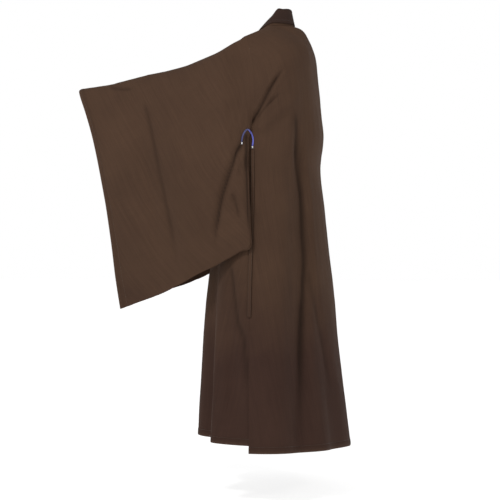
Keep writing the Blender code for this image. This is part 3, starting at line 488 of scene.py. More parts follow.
# Which place along the top line goes with which place along the foot line, ring by ring.
SLEEVE_RINGS = (
    (0.0, 0.0), (0.3, 0.3), (0.6, 0.7), (0.9, 1.25), (1.15, 1.9), (1.38, 2.6), (1.6, 3.3), (1.85, 4.0),
    (2.05, 4.3), (2.3, 4.6), (2.6, 5.0), (2.9, 5.4), (3.25, 5.8), (3.6, 6.2), (4.0, 6.65),
    (4.4, 7.05), (4.8, 7.4), (5.2, 7.75), (5.6, 8.1), (6.0, 8.45), (6.5, 8.75), (7.0, 9.0),
)
CUFF_BOW = 0.027
BAG_GAP = 0.017
RIGHT_BAG_RISE = 0.024
REAR_SEAM_Y = -0.036
CLEAR_OF_BODY = 0.0122
WALLS_APART = 0.0075
# How far down the foot line the inner wall still follows the armhole.
INNER_FADE = 5.7
# A sleeve's folds, seen from the side. Each step: y, z, half width, height.
SLEEVE_FOLDS = {
    "armpit drape": ((-0.060, -0.375, 0.020, -0.004), (-0.090, -0.430, 0.024, -0.009),
                     (-0.125, -0.525, 0.028, -0.011), (-0.142, -0.610, 0.032, -0.008),
                     (-0.150, -0.700, 0.036, -0.003)),
    "behind the drape": ((-0.085, -0.520, 0.014, -0.002), (-0.070, -0.560, 0.015, -0.005),
                         (-0.058, -0.610, 0.016, -0.002)),
    "front pleat": ((-0.385, -0.245, 0.020, -0.002), (-0.368, -0.335, 0.026, -0.006),
                    (-0.350, -0.430, 0.028, -0.007), (-0.318, -0.575, 0.030, -0.007),
                    (-0.292, -0.680, 0.032, -0.006), (-0.284, -0.750, 0.034, -0.003)),
    "rise before it": ((-0.470, -0.300, 0.060, 0.002), (-0.440, -0.450, 0.070, 0.006),
                       (-0.400, -0.640, 0.070, 0.006), (-0.380, -0.800, 0.070, 0.003)),
    "rise behind it": ((-0.250, -0.300, 0.055, 0.002), (-0.235, -0.450, 0.060, 0.006),
                       (-0.215, -0.600, 0.055, 0.006), (-0.210, -0.720, 0.050, 0.002)),
}

# %% Rings of the sleeve
def body_half_width(y, z):
    """x that cloth outside the robe's front must keep beyond at y and z, without folds."""
    rows = np.array(FRONT_ROWS)[::-1]
    centre, wide, middle, square = (np.interp(z, rows[:, 2], rows[:, k]) for k in (1, 3, 4, 6))
    depth = np.minimum(centre - middle, -0.004)
    off = np.clip((y - middle) / depth, 0.0, 1.0)
    return np.where(z > -0.090, 0.0, wide * (1 - off**square) ** (1 / square))


def sleeve_fold_height(y, z):
    """How far the sleeve's folds move its cloth out at y and z."""
    total = np.zeros(np.shape(y))
    for steps in SLEEVE_FOLDS.values():
        steps = np.array(steps)[np.argsort(np.array(steps)[:, 1])]
        middle, wide, high = (np.interp(z, steps[:, 1], steps[:, k]) for k in (0, 2, 3))
        reach = ease((z - steps[0, 1] + 0.05) / 0.05) * ease((steps[-1, 1] + 0.05 - z) / 0.05)
        total = total + high * reach * np.exp(-(((y - middle) / wide) ** 2))
    return total


def ring_line(steps_down, top, foot, radius, along_arm):
    """One ring of the sleeve without its armhole end: outer points from top to foot, and inner."""
    span = np.linalg.norm((foot - top)[1:])
    turn = np.radians([0.0, 38.0, 66.0, 90.0])
    depth = radius * (1 - np.cos(turn))
    half = radius * np.sin(turn)
    low = max(span - 0.012, radius + 0.02)
    middle = radius + (low - radius) * np.linspace(0.0, 1.0, steps_down - 3)[1:] ** 1.15
    narrow = BAG_GAP + (radius - BAG_GAP) * np.exp(-(((middle - radius) / 0.13) ** 2))
    narrow = narrow * ease((span - middle) / 0.110 + 0.12) ** 0.7
    depth = np.concatenate([depth, middle, [span]])
    half = np.concatenate([half, narrow, [0.0]])
    along = depth / span
    y = top[1] + (foot[1] - top[1]) * along
    z = top[2] + (foot[2] - top[2]) * along
    y = y + CUFF_BOW * ease(along_arm) * np.sin(np.pi * along**0.75)
    x = top[0] + (foot[0] - top[0]) * ease(depth / min(0.30, span))
    return np.stack([x + half, y, z], axis=-1), np.stack([x - half, y, z], axis=-1)


def ring_of(a, b, rise):
    """One ring of the left sleeve before it is drawn to the armhole: outside down, inside up."""
    tops = np.array(SLEEVE_TOP)
    feet = np.array(SLEEVE_FOOT)
    top = smooth(range(len(tops)), tops, a)[0]
    foot = smooth(range(len(feet)), feet, b)[0]
    if 3 <= b <= 5:
        k = min(int(b), 4)
        foot = feet[k] + (feet[k + 1] - feet[k]) * (b - k)
    foot[2] += rise * ease(b / 4.0)
    outer, inner = ring_line(ARMHOLE_STEPS, top[:3], foot, top[3], a / SLEEVE_RINGS[-1][0])
    middle = (outer[:, 0] + inner[:, 0]) / 2
    wide = outer[:, 0] - middle
    thin = ease((-0.290 - outer[:, 2]) / 0.08) * (1 - ease((REAR_SEAM_Y - outer[:, 1]) / 0.115))
    wide = wide * (1 - thin) + np.minimum(wide, 0.0045) * thin
    outer[:, 0] = middle + wide
    inner[:, 0] = middle - wide
    return np.concatenate([outer, inner[-2:0:-1]])


# %% [markdown]
# The rings have to stay clear of the body panels. Rays from the side find the outermost cloth,
# and each point of the sleeve's inner wall is moved out to stand a little off it. Before that, the
# inner wall's points are spread evenly, so that its lines don't cross where the bag turns.

# %% Keeping the sleeve clear of the body
def triangles(rows, columns, around, other=()):
    """A grid's faces, each square cut from its first corner, or along the other way."""
    found = []
    for r in range(rows - 1):
        for c in range(columns if around else columns - 1):
            d = (c + 1) % columns
            near, far = r * columns, (r + 1) * columns
            if c in other:
                found += [(near + c, near + d, far + c), (near + d, far + d, far + c)]
            else:
                found += [(near + c, near + d, far + d), (near + c, far + d, far + c)]
    return found


def surface_tree(grids):
    """The panels' outer faces as one tree that rays can be cast at."""
    verts, faces = [], []
    for grid in grids:
        first = len(verts)
        verts += [Vector(p) for p in grid.reshape(-1, 3)]
        faces += [tuple(first + i for i in face) for face in triangles(*grid.shape[:2], False)]
    return BVHTree.FromPolygons(verts, faces)


def side_x(tree, y, z):
    """x of the outermost cloth on the left at y and z, or None."""
    hit = tree.ray_cast(Vector((1.0, y, z)), Vector((-1.0, 0.0, 0.0)))[0]
    return hit.x if hit is not None and hit.x > 0 else None


def even_out(grid, turns=400):
    """Moves the points inside a grid's four edges, seen from the side, until its lines don't cross."""
    grid = grid.copy()
    for _ in range(turns):
        down = (grid[2:, 1:-1] - grid[:-2, 1:-1])[..., 1:] / 2
        along = (grid[1:-1, 2:] - grid[1:-1, :-2])[..., 1:] / 2
        dd = (down * down).sum(axis=-1, keepdims=True)
        aa = (along * along).sum(axis=-1, keepdims=True)
        da = (down * along).sum(axis=-1, keepdims=True)
        corners = (grid[2:, 2:] - grid[2:, :-2] - grid[:-2, 2:] + grid[:-2, :-2]) / 4
        grid[1:-1, 1:-1] = (aa * (grid[2:, 1:-1] + grid[:-2, 1:-1]) - 2 * da * corners
                            + dd * (grid[1:-1, 2:] + grid[1:-1, :-2])) / (2 * (aa + dd))
    return grid

# %% One whole sleeve
def sleeve_grid(armhole, robe_tree, rise=0.0):
    """The left sleeve, ring by ring from the armhole to the cuff, each ring down the outside."""
    rings = np.stack([ring_of(a, b, rise) for a, b in SLEEVE_RINGS])
    pull = armhole - rings[0]
    half = ARMHOLE_STEPS
    inside = np.arange(2 * half) > half + 1
    down = np.array(SLEEVE_RINGS)[:, 1]
    fade = np.where(inside, 1 - ease(down[:, None] / INNER_FADE), 1 - ease(down[:, None] / 4.0))
    rings += pull * fade[..., None]
    inner = np.concatenate([rings[:, half + 1:], rings[:, :1]], axis=1)
    reach = int(np.searchsorted(down, INNER_FADE)) + 1
    inner[:reach] = even_out(inner[:reach])
    rings[:, half + 1:] = inner[:, :-1]
    for number in range(1, len(rings)):
        x, y, z = rings[number].T
        clear = CLEAR_OF_BODY * min(down[number] / 1.5, 1.0) ** 0.6
        low = body_half_width(y, z) + clear
        for i in range(half, 2 * half):
            robe_x = side_x(robe_tree, y[i], z[i])
            x[i] = max(x[i], low[i], -1.0 if robe_x is None else robe_x + clear)
    lining = surface_tree([np.concatenate([rings[:, half:], rings[:, :1]], axis=1)])
    for number in range(1, len(rings)):
        for i in range(1, half):
            x, y, z = rings[number, i]
            inner_x = side_x(lining, y, z)
            rings[number, i, 0] = max(x, -1.0 if inner_x is None else inner_x + WALLS_APART)
    high = sleeve_fold_height(rings[..., 1], rings[..., 2])
    fade = ease(np.array(SLEEVE_RINGS)[:, 1:] / 2.6)
    edge = np.ones(rings.shape[1])
    edge[[0, half]] = 0.0
    edge[[1, half - 1, half + 1, -1]] = 0.5
    high = high * fade * edge
    high[:, half:] *= -0.7
    return rings + outward_normals(rings, around=True) * high[..., None]


# %% Both sleeves, the right one made as a mirrored left one
armhole_left = np.concatenate([back[:ARMHOLE_STEPS + 1, 0], left[ARMHOLE_STEPS - 1:0:-1, 0]])
armhole_right = np.concatenate([back[:ARMHOLE_STEPS + 1, -1], right[ARMHOLE_STEPS - 1:0:-1, 0]])
MIRROR = np.array([-1.0, 1.0, 1.0])
sleeve_left = sleeve_grid(armhole_left, surface_tree([back, left]))
robe_mirrored = surface_tree([back * MIRROR, right * MIRROR, left * MIRROR])
sleeve_right = sleeve_grid(armhole_right * MIRROR, robe_mirrored, RIGHT_BAG_RISE) * MIRROR
print("sleeves:", sleeve_left.shape, sleeve_right.shape)

# %% [markdown]
# ## Collar
#
# The collar is one folded band. It stands round the neck, turns over the collar bones, and lies
# on the chest along each front's free edge; the left front's part covers the right front's.

# %% Tables of the collar
# From the collar's seam to its free edge on the left front: station, then the offset in x, y, z.
# Below the last of these stations the collar lies on the chest.
COLLAR_STAND = (
    (0.0, -0.010, 0.014, 0.050),
    (0.31, -0.019, 0.024, 0.032),
    (0.62, -0.034, 0.017, 0.034),
    (0.92, -0.044, 0.010, 0.033),
    (1.23, -0.050, 0.005, 0.028),
)
# How much further in the right front's collar stands, by station, to pass under the left's.
COLLAR_UNDER = ((0.0, 0.0), (0.31, 0.008), (0.62, 0.018), (0.92, 0.020), (1.23, 0.015), (1.6, 0.010))
COLLAR_BACK = (0.0, -0.0080, 0.056)
COLLAR_LAYS_FROM = 1.5
COLLAR_ROWS_LEFT = 17
COLLAR_ROWS_RIGHT = 14
GUARD_ROWS = 7


# %% The collar's two sides, and its way round the neck
def lay_on(tree, point, normal, reach=0.08):
    """The point moved along the normal onto the cloth of the tree."""
    start = Vector(point + normal * reach)
    hit = tree.ray_cast(start, Vector(-normal), 2 * reach)[0]
    return np.array(hit) if hit is not None else point


def collar_side(edge, normals, skin, left):
    """The collar's points along one front: rows down its free edge, columns across the collar."""
    sign = 1.0 if left else -1.0
    levels = stations()[:len(edge)]
    run = unit(np.gradient(edge, axis=0))
    across = unit(np.cross(run, normals)) * sign
    across = across * np.where((across[:, :1] * sign) > 0, -1.0, 1.0)
    table = np.array(COLLAR_STAND)
    stand = smooth(table[:, 0], table[:, 1:], np.minimum(levels, table[-1, 0]))
    stand = stand * np.array([sign, 1.0, 1.0])
    if not left:
        stand[:, 1] += np.interp(levels, *zip(*COLLAR_UNDER))
    lies = ease((levels - 0.9) / (COLLAR_LAYS_FROM - 0.9))[:, None]
    grid = []
    for share in COLLAR_COLUMNS:
        standing = edge + stand * share
        flat = edge + across * COLLAR_WIDTH * share
        laid = np.stack([lay_on(skin, p, n) for p, n in zip(flat, normals)])
        grid.append(standing + (laid - standing) * lies)
    return np.stack(grid, axis=1)


def collar_grid(back, left, right, normals, outer_skin, inner_skin):
    """From the left front up round the neck and down the right front."""
    down = collar_side(left[:COLLAR_ROWS_LEFT, -1], normals["front_left"][:COLLAR_ROWS_LEFT, -1],
                       outer_skin, True)
    up = collar_side(right[:COLLAR_ROWS_RIGHT, -1], normals["front_right"][:COLLAR_ROWS_RIGHT, -1],
                     inner_skin, False)
    neck = back[0, SHOULDER_COLUMNS:-SHOULDER_COLUMNS]
    turn = np.abs(neck[:, :1]) / NECK["side_x"]
    side = np.array(COLLAR_STAND[0][1:])
    middle = np.array(COLLAR_BACK)
    offset = middle + (side - middle) * turn**2
    offset[:, 0] *= np.sign(neck[:, 0])
    around = np.stack([neck + offset * share for share in COLLAR_COLUMNS], axis=1)
    collar = np.concatenate([down[::-1], around, up])
    free = np.array(COLLAR_COLUMNS)[None, 1:, None] * ease((collar[1:-1, 1:, 2:] + 0.090) / 0.05)
    for _ in range(4):
        even = (collar[:-2, 1:] + 2 * collar[1:-1, 1:] + collar[2:, 1:]) / 4
        collar[1:-1, 1:] += (even - collar[1:-1, 1:]) * free
    return collar


# %% Building the collar on the cloth of the chest
grids = {"back": back, "front_left": left, "front_right": right}
coarse_normals = {name: outward_normals(grid) for name, grid in grids.items()}
chest_levels = stations()[:22]
chest_places = np.repeat(np.linspace(-1.97, -0.03, 48)[None], len(chest_levels), axis=0)
chest_layers = np.array([layer(line, level) for line, level in zip(chest_places, chest_levels)])
outer_skin = surface_tree([folded(chest_places, chest_levels, chest_layers)])
inner_layers = chest_layers - layer_step(chest_levels)[:, None]
inner_skin = surface_tree([folded(chest_places, chest_levels, inner_layers)])
collar = collar_grid(back, left, right, coarse_normals, outer_skin, inner_skin)
print("collar:", collar.shape)

# %% [markdown]
# ## From a few rows to fine cloth
#
# The CAD grids are coarse, a hand's breadth between rows in the skirt. We read the same smooth
# surface at many more rows and columns, about five millimetres apart, and closer still beside each
# edge, where a hem or a seam needs it. The panels that are sewn together share these rows.

# %% Reading a grid at more rows and columns
STEP = 0.0056
SEAM_STOPS = (0.0, 0.0018, 0.0042)
BESIDE_ARMHOLE = (*SEAM_STOPS, *np.arange(0.0075, 0.125, 0.0034))
HEM_STOPS = (0.0, 0.0012, 0.0035, 0.009, 0.0145, 0.0178, 0.0192, 0.0206, 0.0225, 0.0265)
NARROW_STOPS = (0.0, 0.0012, 0.0035, 0.0070, 0.0088, 0.0100, 0.0112, 0.0130, 0.0165)


def run_length(grid, axis):
    """Mean length along the cloth, from the first row or column to each of them."""
    steps = np.linalg.norm(np.diff(grid, axis=axis), axis=-1).mean(axis=1 - axis)
    return np.concatenate([[0.0], np.cumsum(steps)])


def stops(length, step, start=(0.0,), end=(0.0,)):
    """Row or column numbers, a step apart, and at chosen distances from the start and the end."""
    total = length[-1]
    count = max(int(round((total - start[-1] - end[-1]) / step)), 1)
    middle = np.linspace(start[-1], total - end[-1], count + 1)[1:-1]
    at = np.concatenate([start, middle, total - np.array(end)[::-1]])
    return np.interp(at, length, np.arange(len(length)))


def finer(grid, rows, columns, around=False):
    """The surface at those row and column numbers, through every point of the grid."""
    grid = smooth(range(len(grid)), grid, rows)
    if around:
        grid = np.concatenate([grid[:, -3:], grid, grid[:, :4]], axis=1)
        columns = columns + 3
    return smooth(range(grid.shape[1]), grid.swapaxes(0, 1), columns).swapaxes(0, 1)


armhole_stops = stops(run_length(back[:ARMHOLE_STEPS + 1], 0), 0.0044)
HALF = len(armhole_stops) - 1
skirt_back = ARMHOLE_STEPS + stops(run_length(back[ARMHOLE_STEPS:], 0), STEP, end=HEM_STOPS)
back_rows = np.concatenate([armhole_stops, skirt_back[1:]])
fine = {}
for name, grid, edge in (("back", back, BESIDE_ARMHOLE), ("front_left", left, NARROW_STOPS),
                         ("front_right", right, NARROW_STOPS)):
    start = BESIDE_ARMHOLE if name == "back" else SEAM_STOPS
    columns = stops(run_length(grid, 1), STEP, start=start, end=edge)
    fine[name] = finer(grid, back_rows, columns)
    print(name, "is now", fine[name].shape[:2])

# %% [markdown]
# Both sleeves take their first ring from the armhole's own edge, point by point, so that no gap
# opens there. The change fades out over the first hand's breadth of the sleeve.

# %% Fine sleeves that meet the armholes
for name, grid, column in (("sleeve_left", sleeve_left, 0), ("sleeve_right", sleeve_right, -1)):
    front = fine["front_left" if column == 0 else "front_right"]
    rows = stops(run_length(grid, 0), STEP, start=SEAM_STOPS, end=HEM_STOPS)
    columns = np.concatenate([armhole_stops, 2 * ARMHOLE_STEPS - armhole_stops[-2:0:-1]])
    sleeve = finer(grid, rows, columns, around=True)
    edge = np.concatenate([fine["back"][:HALF + 1, column], front[HALF - 1:0:-1, 0]])
    fade = 1 - ease(rows / 1.6)
    sleeve += (edge - sleeve[0]) * fade[:, None, None]
    fine[name] = sleeve
    print(name, "is now", sleeve.shape[:2])
shared = slice(HALF, int(np.searchsorted(back_rows, np.flatnonzero(sewn_rows)[-1])) + 1)
for name, column in (("front_left", 0), ("front_right", -1)):
    fine[name][shared, 0] = fine["back"][shared, column]

# %% [markdown]
# The robe shows no edge where the sleeve leaves the back: the cloth runs over the shoulder in one
# sweep. So the two pieces are evened together, as one strip across their seam.

# %% Evening the cloth across the armhole
FAIRED = 14
EVENING_TURNS = 44


def even_seam(panel, column, sleeve):
    """Smooths the back and the outside of a sleeve across the seam between them."""
    order = np.arange(FAIRED) if column == 0 else -1 - np.arange(FAIRED)
    sleeve_side = sleeve[1:FAIRED, :HALF + 1].swapaxes(0, 1)
    strip = np.concatenate([panel[:HALF + 1, order[::-1]], sleeve_side], axis=1)
    middle = FAIRED - 1
    reach = ease(1 - np.abs(np.arange(strip.shape[1]) - middle) / middle)[None, :, None]
    ends = ease(np.minimum(np.arange(HALF + 1), HALF - np.arange(HALF + 1)) / 8)[:, None, None]
    for _ in range(EVENING_TURNS):
        level = strip.copy()
        level[1:-1, 1:-1] = (2 * strip[1:-1, 1:-1] + strip[1:-1, :-2] * 1.5 + strip[1:-1, 2:] * 1.5
                             + strip[:-2, 1:-1] * 0.5 + strip[2:, 1:-1] * 0.5) / 6
        strip += (level - strip) * reach * ends
    panel[:HALF + 1, order[::-1]] = strip[:, :FAIRED]
    sleeve[:FAIRED, :HALF + 1] = strip[:, FAIRED - 1:].swapaxes(0, 1)


for column, name in ((0, "sleeve_left"), (-1, "sleeve_right")):
    before = fine["back"][:HALF + 1, column].copy()
    even_seam(fine["back"], column, fine[name])
    moved = np.linalg.norm(fine["back"][:HALF + 1, column] - before, axis=-1)
    print(f"{name}: seam evened by up to {moved.max() * 1000:.1f} mm")

# %% [markdown]
# ## Distances along the cloth
#
# Seams, hems and wear follow the edges of each piece. So for every point we work out how far it
# is along the cloth from each of the four edges. The same lengths serve as the cloth's own
# coordinates, in metres, and the weave is drawn in them.

# %% Lengths from the edges
def lengths(grid, around=False):
    """Distance along the cloth from the first row and the first column, for each point."""
    down = np.linalg.norm(np.diff(grid, axis=0), axis=-1)
    down = np.concatenate([np.zeros((1, grid.shape[1])), np.cumsum(down, axis=0)])
    across = np.linalg.norm(np.diff(grid, axis=1), axis=-1)
    across = np.concatenate([np.zeros((len(grid), 1)), np.cumsum(across, axis=1)], axis=1)
    girth = across[:, -1] + (np.linalg.norm(grid[:, 0] - grid[:, -1], axis=-1) if around else 0.0)
    return down, across, girth


# %% [markdown]
# ## Creases
#
# Some creases in this robe are long and sharp: two pull up from the armpit across the back, one
# drops deep down the middle of the side, and one hangs in the sleeve below the blue arch. Each is
# a row of this table: the piece, the depth (a ridge is +), the half width, how sharp it is, how
# dark the painted shade at its bottom is, and the line that it follows over the cloth.

# %% The crease table
CREASES = (
    ("back", -0.0085, 0.0054, 1.2, 1.0, ((0.257, -0.040, -0.336), (0.242, -0.024, -0.302),
     (0.242, -0.006, -0.270), (0.229, 0.027, -0.204), (0.214, 0.046, -0.170), (0.194, 0.064, -0.136))),
    ("back", -0.0040, 0.0046, 1.4, 0.47, ((0.242, -0.015, -0.300), (0.240, 0.008, -0.270),
     (0.232, 0.034, -0.243), (0.219, 0.056, -0.219))),
    ("back", 0.0045, 0.0130, 2.0, 0.0, ((0.240, -0.020, -0.345), (0.225, 0.040, -0.285),
     (0.200, 0.078, -0.250), (0.170, 0.105, -0.235))),
    ("back", -0.0120, 0.0150, 1.3, 1.0, ((0.190, 0.090, -0.279), (0.159, 0.094, -0.396),
     (0.142, 0.104, -0.515), (0.149, 0.110, -0.636), (0.158, 0.116, -0.744), (0.187, 0.111, -0.905),
     (0.214, 0.112, -1.084), (0.241, 0.113, -1.264))),
    ("back", -0.0036, 0.0140, 1.6, 0.42, ((0.154, 0.122, -0.744), (0.150, 0.139, -0.837),
     (0.127, 0.161, -0.952), (0.111, 0.177, -1.047), (0.095, 0.193, -1.142))),
    ("front_left", -0.0052, 0.0105, 1.5, 0.61, ((0.248, -0.093, -0.734), (0.264, -0.084, -0.802),
     (0.283, -0.067, -0.901), (0.295, -0.048, -0.944), (0.307, -0.037, -1.034), (0.316, -0.035, -1.144))),
    ("front_left", 0.0035, 0.0130, 1.8, 0.0, ((0.236, -0.113, -0.764), (0.262, -0.108, -0.926),
     (0.285, -0.103, -1.072), (0.305, -0.100, -1.216))),
    ("sleeve_left", -0.0085, 0.0078, 1.3, 1.0, ((0.262, -0.052, -0.362), (0.267, -0.059, -0.381),
     (0.282, -0.080, -0.431), (0.274, -0.113, -0.522), (0.272, -0.130, -0.604), (0.265, -0.141, -0.690))),
    ("sleeve_left", -0.0040, 0.0095, 1.4, 1.0, ((0.262, -0.0440, -0.346), (0.264, -0.0425, -0.385),
     (0.266, -0.0415, -0.435), (0.266, -0.0395, -0.475))),
    ("sleeve_left", -0.0030, 0.0055, 1.4, 1.0, ((0.264, -0.0430, -0.400), (0.266, -0.0415, -0.440),
     (0.266, -0.0385, -0.528), (0.266, -0.0350, -0.600), (0.268, -0.0320, -0.650))),
    ("sleeve_left", -0.0045, 0.0070, 1.6, 0.53, ((0.279, -0.084, -0.522), (0.281, -0.071, -0.564),
     (0.281, -0.059, -0.605))),
    ("sleeve_left", -0.0040, 0.0110, 1.5, 0.47, ((0.189, -0.371, -0.244), (0.205, -0.345, -0.341),
     (0.221, -0.324, -0.431), (0.226, -0.292, -0.576), (0.229, -0.270, -0.681), (0.224, -0.262, -0.744))),
    ("sleeve_left", -0.0040, 0.0080, 1.6, 0.47, ((0.138, -0.491, -0.187), (0.157, -0.453, -0.196),
     (0.173, -0.405, -0.199))),
    ("sleeve_right", -0.0090, 0.0095, 1.3, 1.0, ((-0.262, -0.052, -0.362), (-0.280, -0.084, -0.431),
     (-0.274, -0.108, -0.522), (-0.272, -0.124, -0.604), (-0.265, -0.150, -0.680))),
    ("sleeve_right", -0.0045, 0.0110, 1.5, 0.53, ((-0.187, -0.385, -0.250), (-0.205, -0.352, -0.341),
     (-0.221, -0.330, -0.451), (-0.226, -0.300, -0.590), (-0.226, -0.280, -0.700))),
    ("back", -0.0080, 0.0056, 1.2, 0.94, ((-0.255, -0.040, -0.334), (-0.242, -0.020, -0.298),
     (-0.236, 0.010, -0.240), (-0.220, 0.040, -0.184), (-0.196, 0.062, -0.140))),
    ("back", -0.0100, 0.0150, 1.4, 1.0, ((-0.188, 0.088, -0.300), (-0.168, 0.098, -0.420),
     (-0.160, 0.108, -0.560), (-0.168, 0.118, -0.760), (-0.190, 0.120, -0.960), (-0.214, 0.120, -1.220))),
)


def along_line(points, line):
    """Each point's distance from a line, and how far along the line that is, from 0 to 1."""
    line = smooth(range(len(line)), line, np.linspace(0, len(line) - 1, 4 * len(line)))
    starts, steps = line[:-1], np.diff(line, axis=0)
    spans = np.linalg.norm(steps, axis=1)
    run = np.concatenate([[0.0], np.cumsum(spans)])
    best = np.full(points.shape[:-1], 9.0)
    share = np.zeros(points.shape[:-1])
    for start, step, span, before in zip(starts, steps, spans, run):
        t = np.clip(((points - start) * step).sum(axis=-1) / span**2, 0.0, 1.0)
        off = np.linalg.norm(points - start - t[..., None] * step, axis=-1)
        closer = off < best
        best = np.where(closer, off, best)
        share = np.where(closer, (before + t * span) / run[-1], share)
    return best, share


def crease_height(name, points):
    """How far this piece's creases move its points, and how much painted shade each point gets at a crease's
    bottom.

    A crease is a trough with a low lip on either side. On a sleeve both walls follow it, so
    distances are measured as seen from the side.
    """
    total = np.zeros(points.shape[:2])
    deep = np.zeros(points.shape[:2])
    seen = np.array([0.0, 1.0, 1.0]) if name.startswith("sleeve") else np.ones(3)
    for piece, high, wide, sharp, shade, line in CREASES:
        if piece == name:
            off, share = along_line(points * seen, np.array(line) * seen)
            off = off / wide
            ending = ease((1 - share) / 0.30)
            strength = ease(share / 0.12) * ending
            shape = np.exp(-off**sharp) - 0.30 * np.exp(-((off - 2.3) / 0.9) ** 2)
            total += high * shape * strength
            # Painted shade: the bottom of each trough is darkened in colour, by the row's shade column.
            start = ease(0.3 + share / 0.06)
            deep = np.maximum(deep, np.exp(-((off / 0.62) ** 2)) * start * ending * shade)
    return total, deep


# %% [markdown]
# ## Small unevenness
#
# Worn cotton is never as smooth as a drawn surface. A slow random wave, longer down the cloth
# than across it, and a finer one over it, give the light something to catch. The noise is a fixed
# function of place, so the robe is the same each time that it is made.

# %% Slow and fine waves
# How long a wave is across and down the cloth, and how high.
WAVES = ((0.060, 0.200, 0.0016), (0.024, 0.075, 0.0006), (0.010, 0.016, 0.00018))


def waves(points, seed):
    """Random rises of the cloth, in metres."""
    total = np.zeros(points.shape[:2])
    for across, down, high in WAVES:
        scaled = points / np.array([across, across, down]) + seed * 7.3
        flat = [noise.noise(Vector(p)) for p in scaled.reshape(-1, 3)]
        total += high * np.array(flat).reshape(total.shape)
    return total


# %% [markdown]
# ## Hems and seams
#
# A hem is the cloth's edge turned in twice and stitched two centimetres up. From outside it shows
# as a band that is a little proud and stiffer, with a groove where the stitches pull it in. A
# seam shows as a narrow dip, because both edges turn inwards there.

# %% Relief of hems and seams
HEM_DEEP = 0.0192
NARROW_HEM = 0.0100
HEM_RISE, STITCH_PULL, EDGE_TURN = 0.00075, 0.00085, 0.0007
SEAM_DIP, SEAM_RISE = 0.0005, 0.0002


def hem_relief(off, deep):
    """Rise of a hemmed edge at a distance from it: a proud band, then the pull of its stitches."""
    band = HEM_RISE * (1 - ease((off - deep) / 0.0015))
    groove = STITCH_PULL * np.exp(-(((off - deep) / 0.0016) ** 2))
    turn = EDGE_TURN * np.exp(-((off / 0.0016) ** 2))
    return band - groove - turn


def seam_relief(off):
    """Dip along a sewn seam, and the faint rise over its turned-in edges beside it."""
    beside = SEAM_RISE * np.exp(-(((off - 0.008) / 0.004) ** 2))
    return beside - SEAM_DIP * np.exp(-((off / 0.0022) ** 2))


# %% [markdown]
# A hem is stiffer than the cloth above it, so the waves are smaller there. `dress` puts all of
# this on one piece. It returns the outer points, their normals, the wall's thickness, how worn
# each point is, how much painted shade of a crease it gets, and the cloth's own coordinates.

# %% What each edge is
EDGES = {
    "back": {"top": "seam", "bottom": "hem", "start": "seam", "end": "seam"},
    "front_left": {"top": "seam", "bottom": "hem", "start": "seam", "end": "narrow"},
    "front_right": {"top": "seam", "bottom": "hem", "start": "seam", "end": "narrow"},
    "sleeve_left": {"top": "seam", "bottom": "hem"},
    "sleeve_right": {"top": "seam", "bottom": "hem"},
}
RELIEF = {"seam": seam_relief, "hem": lambda off: hem_relief(off, HEM_DEEP),
          "narrow": lambda off: hem_relief(off, NARROW_HEM)}


# %% Dressing one piece
def dress(name, seed):
    """One piece's outer surface with its creases, waves, hems and seams, and what its wall needs."""
    grid = fine[name]
    around = name.startswith("sleeve")
    down, across, girth = lengths(grid, around)
    off = {"top": down, "bottom": down[-1] - down, "start": across, "end": girth[:, None] - across}
    normals = outward_normals(grid, around)
    keep = np.ones(grid.shape[1])
    calm = ease(down / 0.03) * (1 - 0.6 * np.exp(-((off["bottom"] / 0.02) ** 2)))
    if around:
        keep[HALF + 1:] = -0.75
        keep[[0, HALF]] = 0.1
    else:
        calm = calm * ease(off["start"] / 0.03)
    if name.startswith("front"):
        calm = calm * ease((off["end"] - 0.055) / 0.05)
    if name == "back":
        calm = calm * ease(off["end"] / 0.03)
    # fold is the painted shade at the bottom of the creases, kept for the colour.
    height, fold = crease_height(name, grid)
    height = height * keep * ease((down + 0.006) / 0.02) + waves(grid, seed) * calm
    wear = np.zeros(grid.shape[:2])
    if around:
        pressed = np.where(np.arange(grid.shape[1]) <= HALF, 0.0, 1.0)[None]
    else:
        pressed = ease((np.arange(len(grid)) - HALF) / 6)[:, None]
    for edge, kind in EDGES[name].items():
        relief = RELIEF[kind](off[edge])
        if name.startswith("front") and edge == "end":
            relief = relief * ease((down - 0.75) / 0.05)
        # The cloth runs over the armhole, so only the seams away from it dip.
        if kind == "seam" and around == (edge == "top"):
            relief = relief * pressed
        height = height + relief
        if kind != "seam":
            wear = np.maximum(wear, np.exp(-off[edge] / 0.0045))
    thick = CLOTH + (HEM_CLOTH - CLOTH) * (1 - ease((off["bottom"] - 0.018) / 0.004))
    points = grid + normals * height[..., None]
    fresh = outward_normals(points, around)
    hem = 1 - ease((off["bottom"] - HEM_DEEP) / 0.002)
    middle = across - girth[:, None] / 2
    cloth = np.stack([down, middle] if around else [middle, down], axis=-1)
    return {"points": points, "normals": fresh, "thick": thick, "wear": wear, "hem": hem, "fold": fold,
            "cloth": cloth, "girth": girth, "off": off, "around": around, "sewn": True}


# %% All five panels
dressed = {name: dress(name, seed) for seed, name in enumerate(fine)}
for name, piece in dressed.items():
    moved = np.linalg.norm(piece["points"] - fine[name], axis=-1)
    print(f"{name}: moved by up to {moved.max() * 1000:.1f} mm from the plain surface")

# %% [markdown]
# ## Walls
#
# Cloth has a thickness, and at a cuff or hem you see it. Each piece becomes a closed wall: the
# outer points, the same points moved in along their normals, and a rounded rim between them. The
# seam edges are pulled back by less than a tenth of a millimetre, so that no gap shows between two
# pieces and they never cross.

